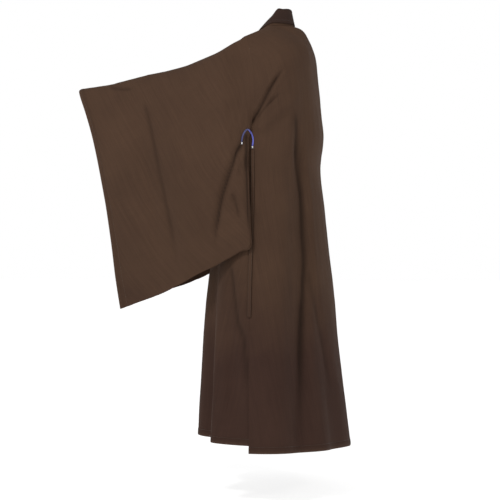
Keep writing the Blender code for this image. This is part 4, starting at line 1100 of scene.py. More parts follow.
# %% A mesh with the cloth's coordinates
def new_piece(name, verts, faces, cloth=None, wear=None, hem=None, fold=None):
    """An object from points and faces, with coordinates in metres along the cloth."""
    mesh = bpy.data.meshes.new(name)
    faces = faces if isinstance(faces, list) else faces.tolist()
    mesh.from_pydata(np.asarray(verts).tolist(), [], faces)
    obj = bpy.data.objects.new(name, mesh)
    bpy.context.scene.collection.objects.link(obj)
    mesh.shade_smooth()
    if cloth is not None:
        layer_of = mesh.uv_layers.new(name="cloth")
        which = np.empty(len(mesh.loops), np.int64)
        mesh.loops.foreach_get("vertex_index", which)
        layer_of.data.foreach_set("uv", np.asarray(cloth, np.float32)[which].ravel())
    # The last attribute holds painted shade: creases' bottoms, band edges and the piping's shaded half.
    for label, values in (("edge_wear", wear), ("hem_band", hem), ("painted_fold_shade", fold)):
        if values is not None:
            kept = mesh.attributes.new(label, "FLOAT", "POINT")
            kept.data.foreach_set("value", np.asarray(values, np.float32))
    return obj


def quads(rows, columns, around=False):
    """The four corners of each square of a grid."""
    r = np.arange(rows - 1)[:, None] * columns
    c = np.arange(columns if around else columns - 1)[None]
    d = (c + 1) % columns
    return np.stack([r + c, r + d, r + columns + d, r + columns + c], axis=-1).reshape(-1, 4)


# %% The rim of a wall, and its sharp edges
SEAM_GAP = 0.00007


def rim_loops(rows, columns, around):
    """The grid's border: point numbers in order, and for each the neighbour further in."""
    number = np.arange(rows * columns).reshape(rows, columns)
    if around:
        return [(number[0], number[1]), (number[-1][::-1], number[-2][::-1])]
    edge = np.concatenate([number[0], number[1:, -1], number[-1, -2::-1], number[-2:0:-1, 0]])
    inner = np.concatenate([number[1], number[1:, -2], number[-2, -2::-1], number[-2:0:-1, 1]])
    inner[columns - 1] = number[1, -2]
    inner[0] = number[1, 1]
    return [(edge, inner)]


def crisp(obj, sewn):
    """Ends the smooth shading at a sewn edge, so that the rim behind it doesn't darken the seam."""
    ends = np.empty(2 * len(obj.data.edges), np.int32)
    obj.data.edges.foreach_get("vertices", ends)
    obj.data.edges.foreach_set("use_edge_sharp", sewn[ends.reshape(-1, 2)].all(axis=1))


# %% The wall, and its coordinates where a tube joins
def cloth_wall(name, piece):
    """Builds one piece's wall from what dress() worked out."""
    points, normals = piece["points"], piece["normals"]
    rows, columns = points.shape[:2]
    count = rows * columns
    outer = points.reshape(-1, 3)
    inner = (points - normals * piece["thick"][..., None]).reshape(-1, 3)
    faces = quads(rows, columns, piece["around"])
    middle = (rows // 2) * columns + columns // 2
    a, b, c = outer[middle], outer[middle + 1], outer[middle + columns]
    flip = np.dot(np.cross(b - a, c - a), normals.reshape(-1, 3)[middle]) < 0
    walls = [faces[:, ::-1] if flip else faces, (faces if flip else faces[:, ::-1]) + count]
    sewn = np.zeros((rows, columns), bool)
    if piece["sewn"]:
        sewn[0] = True
        if not piece["around"]:
            sewn[:shared.stop, 0] = True
            sewn[:shared.stop, -1] = name == "back_cloth"
    sewn = sewn.reshape(-1)
    rims, rim_from = [], []
    at = 2 * count
    for edge, inward in rim_loops(rows, columns, piece["around"]):
        half = (outer[edge] + inner[edge]) / 2
        out = unit(outer[edge] - outer[inward])
        bulge = np.where(sewn[edge], 0.0, 0.28)[:, None]
        rims.append(half + out * piece["thick"].reshape(-1)[edge][:, None] * bulge)
        rim_from.append(edge)
        nxt = np.roll(np.arange(len(edge)), -1)
        ids = at + np.arange(len(edge))
        top = np.stack([edge[nxt], edge, ids, ids[nxt]], axis=-1)
        low = np.stack([ids[nxt], ids, edge + count, edge[nxt] + count], axis=-1)
        turned = np.concatenate([top, low])
        walls.append(turned[:, ::-1] if flip else turned)
        at += len(edge)
    verts = np.concatenate([outer, inner] + rims)
    source = np.concatenate([np.arange(count), np.arange(count)] + rim_from)
    cloth = piece["cloth"].reshape(-1, 2)[source]
    obj = new_piece(name, verts, np.concatenate(walls), cloth, piece["wear"].reshape(-1)[source],
                    piece["hem"].reshape(-1)[source], piece["fold"].reshape(-1)[source])
    crisp(obj, np.concatenate([sewn, sewn, np.zeros(len(verts) - 2 * count, bool)]))
    if piece["around"]:
        close_girth(obj, piece, count, columns)
    return obj


def close_girth(obj, piece, count, columns):
    """On a tube, the faces that cross the join take coordinates one girth further on."""
    mesh = obj.data
    uv = np.empty(2 * len(mesh.loops), np.float32)
    mesh.uv_layers["cloth"].data.foreach_get("uv", uv)
    uv = uv.reshape(-1, 2)
    which = np.empty(len(mesh.loops), np.int64)
    mesh.loops.foreach_get("vertex_index", which)
    start = np.empty(len(mesh.polygons), np.int64)
    mesh.polygons.foreach_get("loop_start", start)
    low = uv[:, 1].reshape(-1, 4).min(axis=1)
    high = uv[:, 1].reshape(-1, 4).max(axis=1)
    girth = np.append(piece["girth"], 0.0)
    row = np.where(which < 2 * count, (which % count) // columns, len(girth) - 1)
    for face in np.flatnonzero(high - low > 0.1):
        loops = slice(start[face], start[face] + 4)
        around_it = girth[row[loops]].max() if girth[row[loops]].max() > 0 else high[face] - low[face]
        uv[loops, 1] += np.where(uv[loops, 1] < (low[face] + high[face]) / 2, around_it, 0.0)
    mesh.uv_layers["cloth"].data.foreach_set("uv", uv.ravel())


# %% [markdown]
# Where two pieces are sewn, their walls have to meet at the same slant, as the two halves of a
# picture frame do. So the points that they share take one normal, the mean of both.

# %% Joining the normals at the seams, then building the panels
def share_normals(*edges):
    """Gives the points that edges share one normal each. An edge is a piece's name and an index."""
    total = unit(sum(dressed[name]["normals"][index] for name, index in edges))
    for name, index in edges:
        dressed[name]["normals"][index] = total


def share_points(name, index, other, other_index):
    """Puts one piece's sewn edge exactly on its neighbour's."""
    dressed[name]["points"][index] = dressed[other]["points"][other_index]


for side, column in (("left", 0), ("right", -1)):
    front, sleeve = "front_" + side, "sleeve_" + side
    share_points(front, np.s_[shared, 0], "back", np.s_[shared, column])
    share_points(sleeve, np.s_[0, 1:HALF], "back", np.s_[1:HALF, column])
    share_points(sleeve, np.s_[0, :HALF:-1], front, np.s_[1:HALF, 0])
    share_points(sleeve, np.s_[0, 0], "back", np.s_[0, column])
    share_points(sleeve, np.s_[0, HALF], "back", np.s_[HALF, column])
    share_points(front, np.s_[0, 0], "back", np.s_[0, column])
    share_normals(("back", np.s_[shared, column]), (front, np.s_[shared, 0]))
    share_normals(("back", np.s_[1:HALF, column]), (sleeve, np.s_[0, 1:HALF]))
whole = {name: piece["points"].copy() for name, piece in dressed.items()}
for name, piece in dressed.items():
    points = piece["points"]
    if piece["around"]:
        points[0] += unit(points[2] - points[0]) * 2 * SEAM_GAP
    else:
        points[0] += unit(points[1] - points[0]) * SEAM_GAP
        points[:, 0] += unit(points[:, 1] - points[:, 0]) * SEAM_GAP
        if name == "back":
            points[:, -1] += unit(points[:, -2] - points[:, -1]) * SEAM_GAP
cloths = {name: cloth_wall(name + "_cloth", piece) for name, piece in dressed.items()}
for name, obj in cloths.items():
    print(obj.name, len(obj.data.polygons), "faces")

# %% [markdown]
# ## The collar, dressed
#
# The collar is stiffer than the panels: it is cloth folded over an inner strip and sewn down
# along both long edges. So it has no small waves, but it has a soft crown across its width and a
# row of stitches near its free edge. Beside the neck its edge turns down in a clear corner.

# %% Collar wall
NECK_CORNER = 0.0089
NECK_CORNER_Y = 0.0165
COLLAR_FINE = 8
COLLAR_EDGE_STOPS = (0.0, 0.0012, 0.0034, 0.0050, 0.0066)


def softened(normals, times):
    """Evens normals from row to row, so that the collar turns softly."""
    for _ in range(times):
        normals[1:-1] = unit(normals[:-2] + 2 * normals[1:-1] + normals[2:])
    return normals


collar_normals = softened(outward_normals(collar), 3)
collar_rows = np.linspace(0, len(collar) - 1, COLLAR_FINE * (len(collar) - 1) + 1)
collar_columns = stops(run_length(collar, 1), 0.0035, start=SEAM_STOPS, end=COLLAR_EDGE_STOPS)
fine_collar = finer(collar, collar_rows, collar_columns)
fine_collar_normals = unit(finer(collar_normals, collar_rows, collar_columns))
down, across, girth = lengths(fine_collar)
share = across / girth[:, None]
corner = NECK_CORNER * np.exp(-(((fine_collar[:, -1, 1] - NECK_CORNER_Y) / 0.0115) ** 2))
fine_collar[..., 2] += corner[:, None] * share**1.5
crown = 0.0006 * np.sin(np.pi * share) + seam_relief(across)
crown += 0.6 * hem_relief(girth[:, None] - across, 0.005)
fine_collar += fine_collar_normals * crown[..., None]
fine_collar[:, 0] += unit(fine_collar[:, 1] - fine_collar[:, 0]) * 0.0007
plain = np.zeros(share.shape)
collar_piece = {
    "points": fine_collar, "normals": fine_collar_normals, "thick": np.full(share.shape, COLLAR_WALL),
    "wear": np.exp(-np.minimum(girth[:, None] - across, down[-1] - down) / 0.004),
    "hem": plain, "fold": plain, "cloth": np.stack([across, down], axis=-1),
    "around": False, "sewn": False,
}
cloths["collar"] = cloth_wall("collar_cloth", collar_piece)
print("collar_cloth:", fine_collar.shape[:2], "points")

# %% [markdown]
# ## Neck guard
#
# The part of the collar that rubs on the neck wears a cover of dark cotton, which can be taken
# off and washed. It is one strip folded over the collar's edge: most of it outside, a finger's
# breadth inside, and rounded over the fold. We make its section row by row from the collar's own
# points, moved out.

# %% Guard sections over the collar's edge
GUARD_FROM = 0.12
GUARD_INSIDE = 0.80
guard_first = (COLLAR_ROWS_LEFT - GUARD_ROWS) * COLLAR_FINE
guard_last = (len(collar) - COLLAR_ROWS_RIGHT + GUARD_ROWS - 1) * COLLAR_FINE
TURNS = np.linspace(0.0, np.pi, 9)


def guard_section(points, out, shares, extra):
    """One row of the guard at a distance from the collar: outside, over the edge, inside."""
    rise = unit(points[-1] - points[-3])
    outside = np.flatnonzero(shares >= GUARD_FROM)[:-1]
    inside = np.flatnonzero(shares >= GUARD_INSIDE)[-2::-1]
    over = points[outside] + out[outside] * extra
    middle = points[-1] - out[-1] * COLLAR_WALL / 2
    round_it = COLLAR_WALL / 2 + extra
    turn = [middle + (out[-1] * np.cos(t) + rise * np.sin(t)) * round_it for t in TURNS]
    under = points[inside] - out[inside] * (COLLAR_WALL + extra)
    return np.concatenate([over, turn, under])


# %% A closed body from a list of rings
def tube(name, sections, fold=None):
    """A closed body through a list of rings, with a cap at each end."""
    sections = np.asarray(sections)
    rows, columns = sections.shape[:2]
    verts = sections.reshape(-1, 3)
    faces = quads(rows, columns, True).tolist()
    faces += [list(range(columns))[::-1], [(rows - 1) * columns + c for c in range(columns)]]
    centre = verts.mean(axis=0)
    volume = sum(np.dot(verts[f[0]] - centre, np.cross(verts[f[i]] - centre, verts[f[i + 1]] - centre))
                 for f in faces for i in range(1, len(f) - 1))
    if volume < 0:
        faces = [face[::-1] for face in faces]
    run = np.concatenate([[0.0], np.cumsum(np.linalg.norm(np.diff(sections.mean(axis=1), axis=0), axis=-1))])
    wide = np.linalg.norm(np.diff(sections, axis=1), axis=-1).mean(axis=0)
    wide = np.concatenate([[0.0], np.cumsum(wide)])
    coordinates = np.stack(np.broadcast_arrays(wide[None], run[:, None]), axis=-1).reshape(-1, 2)
    return new_piece(name, verts, faces, coordinates, fold=fold)


# %% The guard itself
guard_rows = slice(guard_first, guard_last + 1)
guard_shares = share[guard_rows].mean(axis=0)
guard_sections = []
for points, out in zip(fine_collar[guard_rows], fine_collar_normals[guard_rows]):
    outer = guard_section(points, out, guard_shares, GUARD_GAP + GUARD_WALL)
    inner = guard_section(points, out, guard_shares, GUARD_GAP)
    guard_sections.append(np.concatenate([inner, outer[::-1]]))
guard = tube("neck_guard_cover", guard_sections)
print("neck_guard_cover:", len(guard_sections), "rows of", len(guard_sections[0]), "points")

# %% [markdown]
# ## Stitches
#
# A row of machine stitches is a line of short threads that dip into the cloth at both ends. At
# this size a handful of points each is enough. `stitch_row` walks along a line on the cloth and
# puts down one small spindle after another, a little above the surface.

# %% Rows of stitches
STITCH_PITCH = 0.0044
STITCH_LONG = 0.0034
THREAD = 0.00042
# Along a stitch: place, how thick, how high.
SPINDLE = ((-0.5, 0.30, -0.45), (-0.32, 0.85, 0.25), (0.0, 1.0, 0.45), (0.32, 0.85, 0.25),
           (0.5, 0.30, -0.45))


def spindle(centre, along, out, long, thick):
    """The rings of one stitch."""
    side = np.cross(out, along)
    rings = []
    for place, wide, lift in SPINDLE:
        middle = centre + along * place * long + out * lift * thick
        rings.append([middle + (side * np.cos(t) + out * np.sin(t)) * thick * wide
                      for t in np.linspace(0.0, 2 * np.pi, 6)[:-1]])
    return np.array(rings)


def thread_mesh(name, spindles):
    """One object from many separate stitches."""
    verts, faces = [], []
    for rings in spindles:
        at = len(verts)
        rows, columns = rings.shape[:2]
        verts += rings.reshape(-1, 3).tolist()
        last = at + (rows - 1) * columns
        faces += (quads(rows, columns, True) + at).tolist()
        faces += [[at + c for c in range(columns)][::-1], [last + c for c in range(columns)]]
    return new_piece(name, verts, faces)


def stitch_row(points, normals):
    """Stitches along a line of points on the cloth."""
    run = np.concatenate([[0.0], np.cumsum(np.linalg.norm(np.diff(points, axis=0), axis=-1))])
    made = []
    for at in np.arange(STITCH_PITCH, run[-1] - STITCH_PITCH, STITCH_PITCH):
        centre, ahead, out = (np.array([np.interp(x, run, values[:, k]) for k in range(3)])
                              for x, values in ((at, points), (at + 0.0005, points), (at, normals)))
        made.append(spindle(centre, unit(ahead - centre), unit(out), STITCH_LONG, THREAD))
    return made


def line_at(piece, edge, distance):
    """The line of points that runs nearest to a distance from an edge."""
    off = piece["off"][edge]
    if edge in ("top", "bottom"):
        row = int(np.argmin(np.abs(off.mean(axis=1) - distance)))
        return piece["points"][row], piece["normals"][row]
    column = int(np.argmin(np.abs(off.mean(axis=0) - distance)))
    return piece["points"][:, column], piece["normals"][:, column]


# %% Stitching the hems, the collar and the guard
NARROW_HEM_TOP = -0.80
threads = {}
for name, piece in dressed.items():
    rows = stitch_row(*line_at(piece, "bottom", HEM_DEEP))
    if name.startswith("front"):
        points, normals = line_at(piece, "end", NARROW_HEM)
        low = points[:, 2] < NARROW_HEM_TOP
        rows += stitch_row(points[low], normals[low])
    threads[name] = thread_mesh(name + "_stitches", rows)
    print(f"{name}: {len(rows)} stitches")
# The fifth column from the collar's free edge, and the fourth point up the guard's outer side.
rows = stitch_row(fine_collar[:, -5], fine_collar_normals[:, -5])
threads["collar"] = thread_mesh("collar_stitches", rows)
guard_line = np.array([section[-4] for section in guard_sections])
guard_out = fine_collar_normals[guard_rows, 4]
threads["neck_guard"] = thread_mesh("neck_guard_stitches", stitch_row(guard_line, guard_out))

# %% [markdown]
# ## Ties
#
# Narrow bands of the same cloth close the robe. One hangs loose from under the left sleeve; the
# two that are knotted lie at the right side. A band is a tube of cloth pressed flat, so it is a
# little thicker along both folded edges and thinner between them. Each lies on the cloth below it,
# which we find with rays from the side.

# %% Tables of the strips
# Strips, seen from the side as y, z of their middle. The blue arch starts on the back panel.
ARCH = (
    (-0.0294, -0.382), (-0.0278, -0.372), (-0.0276, -0.362), (-0.0300, -0.351), (-0.0350, -0.341),
    (-0.0415, -0.3345), (-0.0480, -0.340), (-0.0535, -0.350), (-0.0570, -0.361), (-0.0578, -0.371),
)
PIPING_WIDE, PIPING_HIGH, PIPING_OFF = 0.00473, 0.0024, 0.0012
TIE_WIDE, TIE_HIGH, TIE_OFF, TIE_LIFT = 0.011, 0.0016, 0.0007, 0.0020
# Where a tie's two rows of stitches run, from its middle (0) to its edge (1).
TIE_STITCHED = 0.66
LONG_TIE = (
    (-0.0295, -0.3925), (-0.0290, -0.43), (-0.0285, -0.48), (-0.0285, -0.53), (-0.0285, -0.58),
    (-0.0290, -0.63), (-0.0290, -0.68), (-0.0295, -0.73), (-0.0295, -0.78), (-0.0300, -0.83),
    (-0.0300, -0.860), (-0.0300, -0.888),
)
CLOSING_TIE_FRONT = (
    (-0.0985, -0.476), (-0.0930, -0.4795), (-0.0870, -0.486), (-0.0835, -0.497), (-0.0810, -0.53),
    (-0.0730, -0.58), (-0.0680, -0.63), (-0.0650, -0.68), (-0.0630, -0.715),
)
CLOSING_TIE_SIDE = (
    (-0.0500, -0.473), (-0.0590, -0.4765), (-0.0655, -0.484), (-0.0690, -0.497), (-0.0675, -0.53),
    (-0.0595, -0.58), (-0.0545, -0.63), (-0.0510, -0.69), (-0.0490, -0.745),
)
CLOSING_KNOT = (-0.0763, -0.497)

# Across a band from edge to edge (-1 to 1), and how high it is there.
BAND = ((-0.97, -1.0), (0.97, -1.0), (1.0, -0.2), (0.97, 0.6), (0.84, 1.0), (0.66, 0.55), (0.45, 0.70),
        (0.0, 0.75), (-0.45, 0.70), (-0.66, 0.55), (-0.84, 1.0), (-0.97, 0.6), (-1.0, -0.2))
PIPE = tuple((np.cos(t), np.sin(t)) for t in np.linspace(0.0, 2 * np.pi, 17)[:-1])


# %% A strip laid on the cloth
def strip(name, tree, path, width, thick, gap, side, profile, step=6, smoothing=4, taper=0.0, lift=0.0):
    """A band or piping on the cloth, along a path seen from the side.

    It lies a gap above the cloth, and away from its start it stands off by the lift as well. A
    band's two edges get painted shade where they meet the cloth, and the piping's sleeve half gets
    a painted shadow of the fold.
    """
    at = np.linspace(0, len(path) - 1, (len(path) - 1) * step + 1)
    path = smooth(range(len(path)), path, at)
    centres, outs = [], []
    for y, z in path:
        hit, normal, _, _ = tree.ray_cast(Vector((side, y, z)), Vector((-side, 0.0, 0.0)))
        normal = np.array(normal)
        outs.append(normal if normal[0] * side > 0 else -normal)
        centres.append(np.array(hit))
    centres, outs = np.array(centres), np.array(outs)
    for _ in range(smoothing):
        outs[1:-1] = unit(outs[:-2] + outs[1:-1] + outs[2:])
        level = (centres[:-2, 0] + centres[2:, 0]) / 2
        centres[1:-1, 0] = np.where(level * side > centres[1:-1, 0] * side, level, centres[1:-1, 0])
    for _ in range(12):
        outs[1:-1] = unit(outs[:-2] + outs[1:-1] + outs[2:])
    place = np.linspace(0.0, 1.0, len(centres))
    centres = centres + outs * (gap + thick / 2 + lift * ease(place / 0.3))[:, None]
    run = unit(np.gradient(centres, axis=0))
    wide = unit(np.cross(outs, run))
    sizes = 1 - taper * (1 - ease(np.minimum(place, 1 - place) / 0.06))
    sections = [[c + w * width / 2 * a * s + n * thick / 2 * b for a, b in profile]
                for c, w, n, s in zip(centres, wide, outs, sizes)]
    # Painted shade: a band's edges get the shade of where they meet the cloth, and the piping's sleeve half
    # the painted shadow of the fold.
    if profile is BAND:
        dark = np.tile(np.abs(np.array(profile)[:, 0]) > 0.9, len(sections))
    else:
        dark = np.repeat(ease((place - 0.45) / 0.12), len(profile))
    return tube(name, sections, dark), centres, wide, outs


# %% The three ties and their stitches
skins = {}
for side, name in ((1.0, "left"), (-1.0, "right")):
    skins[name] = surface_tree([whole["back"], whole["front_left"], whole["front_right"],
                                whole["sleeve_" + name][:, :HALF + 1]])
body_skin = surface_tree([whole["back"], whole["front_left"], whole["front_right"]])
ties, tie_threads = {}, []
for name, path, side in (("tie_left_long", LONG_TIE, 1.0), ("tie_right_front", CLOSING_TIE_FRONT, -1.0),
                         ("tie_right_side", CLOSING_TIE_SIDE, -1.0)):
    ties[name], centres, wide, outs = strip(name + "_band", body_skin, path, TIE_WIDE, TIE_HIGH, TIE_OFF,
                                            side, BAND, lift=TIE_LIFT)
    for edge in (-TIE_STITCHED, TIE_STITCHED):
        tie_threads += stitch_row(centres + wide * TIE_WIDE / 2 * edge + outs * 0.00040, outs)
    long = np.linalg.norm(np.diff(centres, axis=0), axis=1).sum()
    print(f"{name}: {long * 1000:.0f} mm long")
threads["ties"] = thread_mesh("tie_stitches", tie_threads)

# %% [markdown]
# ## The blue arch and its bar tacks
#
# At each armpit the opening's end is bound with a bright blue piping, bent to an arch that starts
# on the back panel and ends on the sleeve, where it lies in the fold; that half is darkened as a
# painted shadow of the fold. Each end is held by a bar tack, a few white threads side by side,
# because this is where the robe would tear first.

# %% Piping and bar tacks
TACK_THREADS = 8
TACK_LONG = 0.0062
TACK_WIDE = 0.0050
TACK_THREAD = 0.00050
TACK_BELOW, TACK_OFF = 0.0036, 0.0019
arches, tacks = {}, {}
for side, name in ((1.0, "left"), (-1.0, "right")):
    arches[name] = strip("underarm_arch_" + name + "_piping", skins[name], ARCH, PIPING_WIDE, PIPING_HIGH,
                         PIPING_OFF, side, PIPE, step=8, smoothing=8, taper=0.25)[0]
    for end, (y, z) in (("back", ARCH[0]), ("sleeve", ARCH[-1])):
        z = z - TACK_BELOW
        hit, normal, _, _ = skins[name].ray_cast(Vector((side, y, z)), Vector((-side, 0.0, 0.0)))
        out = np.array(normal) * (1 if normal[0] * side > 0 else -1)
        down = unit(np.array([0.0, 0.0, -1.0]) + out * out[2])
        across = np.cross(out, down)
        rows = []
        for k in range(TACK_THREADS):
            place = (k + 0.5) / TACK_THREADS - 0.5
            centre = np.array(hit) + down * place * TACK_LONG + out * TACK_OFF
            rows.append(spindle(centre, across, out, TACK_WIDE * (1.0 + 0.06 * (-1) ** k), TACK_THREAD))
        tacks[f"{name}_{end}"] = thread_mesh(f"bar_tack_{name}_{end}_threads", rows)
print("arches:", len(arches), "bar tacks:", len(tacks), "of", TACK_THREADS, "threads")

# %% [markdown]
# ## The knot
#
# The two closing ties are held by a flat knot. What shows is one band wrapped over the other: a
# low pillow with a slanting turn across it, pulled in where the ties leave it.

# %% A flat knot of two bands
KNOT_LONG, KNOT_WIDE, KNOT_HIGH, KNOT_OFF = 0.016, 0.021, 0.0045, 0.0026
hit, normal, _, _ = body_skin.ray_cast(Vector((-1.0, *CLOSING_KNOT)), Vector((1.0, 0.0, 0.0)))
out = np.array(normal) * (1 if normal[0] < 0 else -1)
down = unit(np.array([0.0, 0.0, -1.0]) + out * out[2])
across = np.cross(out, down)
knot_base = np.array(hit) + out * KNOT_OFF
sections = []
for along in np.linspace(-1.0, 1.0, 27):
    round_off = max(1 - abs(along) ** 3.2, 0.03) ** 0.5
    ring = []
    for turn in np.linspace(0.0, 2 * np.pi, 33)[:-1]:
        wide, high = np.cos(turn), np.sin(turn)
        slant = wide * 0.55 + along * 0.85
        wrap = 0.26 * np.exp(-((slant / 0.42) ** 2)) - 0.16 * np.exp(-(((abs(slant) - 0.62) / 0.13) ** 2))
        lift = (0.62 + wrap) * max(high, 0.0) ** 0.7 * round_off
        half_wide = KNOT_WIDE / 2 * round_off * (1 - 0.14 * abs(along) ** 2)
        ring.append(knot_base + down * along * KNOT_LONG / 2 + across * wide * half_wide
                    + out * KNOT_HIGH * lift)
    sections.append(ring)
ties["tie_right_knot"] = tube("tie_right_knot_wrap", sections)

# %% [markdown]
# ## The cloth's finish
#
# The robe is matt brown cotton in plain weave. Its material is made of layers: the weave's
# over-and-under threads as bump, slubs (threads that are thicker for a few centimetres) and
# streaks down the warp, slow cloudy fading, and paler, smoother edges where the cloth rubs. Nearly
# all of them are noise and waves in the cloth's own coordinates, so they follow each fold.
#
# Two more layers are shade that soft light alone doesn't give: the deep creases are darker at
# their bottom, and the low skirt is a little darker and cooler.

# %% Small node helpers
def node(tree, kind, values=(), **settings):
    """A new node. A value that is another node's socket is linked, any other is set."""
    made = tree.nodes.new("ShaderNode" + kind)
    for key, value in settings.items():
        setattr(made, key, value)
    for key, value in dict(values).items():
        if isinstance(value, bpy.types.NodeSocket):
            tree.links.new(value, made.inputs[key])
        else:
            made.inputs[key].default_value = value
    return made


def noise_of(tree, vector, scale, detail=3.0, rough=0.55):
    """Smooth random values from 0 to 1."""
    values = {"Vector": vector, "Scale": scale, "Detail": detail, "Roughness": rough}
    return node(tree, "TexNoise", values).outputs["Fac"]


def stretched(tree, vector, across, down):
    """The coordinates scaled by one number across the cloth and another down it."""
    return node(tree, "Mapping", {"Vector": vector, "Scale": (across, down, 1.0)}).outputs["Vector"]


def span(tree, value, low, high, to_low, to_high):
    """The value carried from one range over to another."""
    values = {"Value": value, "From Min": low, "From Max": high, "To Min": to_low, "To Max": to_high}
    return node(tree, "MapRange", values).outputs["Result"]


def maths(tree, how, a, b):
    """One step of arithmetic on two values."""
    return node(tree, "Math", {0: a, 1: b}, operation=how).outputs["Value"]


def blend_colour(tree, share, a, b, how="MIX"):
    """Colour a turned into colour b by a share."""
    made = node(tree, "Mix", {0: share}, data_type="RGBA", blend_type=how)
    for key, value in ((6, a), (7, b)):
        if isinstance(value, bpy.types.NodeSocket):
            tree.links.new(value, made.inputs[key])
        else:
            made.inputs[key].default_value = (*value, 1.0)
    return made.outputs[2]


def weave_of(tree, cloth, pitch):
    """Height of a plain weave with threads a pitch apart: warp and weft take turns on top."""
    wave = 2 * np.pi / (20.0 * pitch)
    bands = []
    for direction in ("X", "Y"):
        made = node(tree, "TexWave", {"Vector": cloth, "Scale": wave}, wave_type="BANDS",
                    bands_direction=direction)
        bands.append(made.outputs["Fac"])
    turns = node(tree, "TexChecker", {"Vector": cloth, "Scale": 1 / pitch}).outputs["Fac"]
    made = node(tree, "Mix", {0: turns, 2: bands[0], 3: bands[1]}, data_type="FLOAT")
    return made.outputs[0]


# %% Robe cloth
ROBE_DARK = (0.0400, 0.0218, 0.0139)
ROBE_LIGHT = (0.0710, 0.0392, 0.0240)
GUARD_DARK = (0.0225, 0.0128, 0.0100)
GUARD_LIGHT = (0.0410, 0.0230, 0.0176)
FOLD_SHADE = 0.72
HEM_SHADE = 0.20
SKIRT_TINT = (0.68, 0.63, 0.74)
SKIRT_FROM, SKIRT_TO = -0.78, -1.02


def woven(name, dark, light, pitch=0.00065, strength=0.35, sheen=0.035, fade=1.0):
    """Plain-weave cotton: weave, streaks, cloudy fading, worn edges, painted shade at the creases' bottoms
    and the bands' edges, painted shade on the low skirt, and a darker hem.
    """
    material, shader = material_with(name, dark, 0.9)
    tree = material.node_tree
    cloth = node(tree, "UVMap", uv_map="cloth").outputs["UV"]
    place = node(tree, "TexCoord").outputs["Object"]
    streak = noise_of(tree, stretched(tree, cloth, 420.0, 9.0), 1.0, 2.0)
    weft = noise_of(tree, stretched(tree, cloth, 7.0, 520.0), 1.0, 2.0)
    slub = noise_of(tree, stretched(tree, cloth, 90.0, 2.2), 1.0, 3.0)
    cloud = noise_of(tree, place, 5.0, 4.0)
    pill = noise_of(tree, cloth, 900.0, 2.0)
    tone = maths(tree, "ADD", span(tree, streak, 0.3, 0.7, 0.0, 0.26), span(tree, weft, 0.3, 0.7, 0.0, 0.10))
    tone = maths(tree, "ADD", tone, span(tree, slub, 0.3, 0.7, 0.0, 0.18))
    tone = maths(tree, "ADD", tone, span(tree, cloud, 0.3, 0.7, 0.0, 0.38 * fade))
    colour = blend_colour(tree, tone, dark, light)
    # Painted shade: the low skirt is made darker and cooler towards the hem.
    high = node(tree, "SeparateXYZ", {0: place}).outputs["Z"]
    uneven = maths(tree, "ADD", high, span(tree, cloud, 0.3, 0.7, -0.05, 0.05))
    low = span(tree, uneven, SKIRT_FROM, SKIRT_TO, 0.0, 1.0)
    colour = blend_colour(tree, low, colour, blend_colour(tree, 1.0, colour, SKIRT_TINT, "MULTIPLY"))
    wear = node(tree, "Attribute", attribute_name="edge_wear").outputs["Fac"]
    patchy = maths(tree, "MULTIPLY", wear, span(tree, noise_of(tree, cloth, 160.0), 0.35, 0.65, 0.15, 0.75))
    colour = blend_colour(tree, patchy, colour, tuple(min(1.0, c * 1.55 + 0.006) for c in light))
    # Painted shade at the creases' bottoms and along the bands' edges, then the darker hem band.
    for attribute, most, darker in (("painted_fold_shade", FOLD_SHADE, 0.30), ("hem_band", HEM_SHADE, 0.55)):
        share = node(tree, "Attribute", attribute_name=attribute).outputs["Fac"]
        colour = blend_colour(tree, maths(tree, "MULTIPLY", share, most), colour,
                              tuple(c * darker for c in dark))
    tree.links.new(colour, shader.inputs["Base Color"])
    rough = span(tree, pill, 0.3, 0.7, 0.80, 0.96)
    rough = maths(tree, "SUBTRACT", rough, maths(tree, "MULTIPLY", wear, 0.10))
    tree.links.new(rough, shader.inputs["Roughness"])
    height = weave_of(tree, cloth, pitch)
    near = node(tree, "Bump", {"Height": height, "Strength": strength, "Distance": 0.00018})
    fuzz = node(tree, "Bump", {"Height": slub, "Strength": 0.25, "Distance": 0.0006,
                               "Normal": near.outputs["Normal"]})
    tree.links.new(fuzz.outputs["Normal"], shader.inputs["Normal"])
    shader.inputs["Sheen Weight"].default_value = sheen
    shader.inputs["Sheen Roughness"].default_value = 0.55
    shader.inputs["Sheen Tint"].default_value = (*[min(1.0, c * 6) for c in light], 1.0)
    shader.inputs["Specular IOR Level"].default_value = 0.10
    return material


robe_cloth = woven("robe_weave", ROBE_DARK, ROBE_LIGHT)
tie_cloth = woven("tie_weave", ROBE_DARK, ROBE_LIGHT)
dark_cloth = woven("guard_weave", GUARD_DARK, GUARD_LIGHT, pitch=0.0008, strength=0.5, sheen=0.04)

# %% [markdown]
# Thread is smoother than cloth, and the blue piping is satin: its fine threads run round it at a
# slant, so it has a soft streak of light. Both get a twist, drawn as slanting bands.

# %% Thread and piping
PIPING_BLUE = (0.105, 0.115, 0.520)
TACK_WHITE = (0.78, 0.78, 0.80)


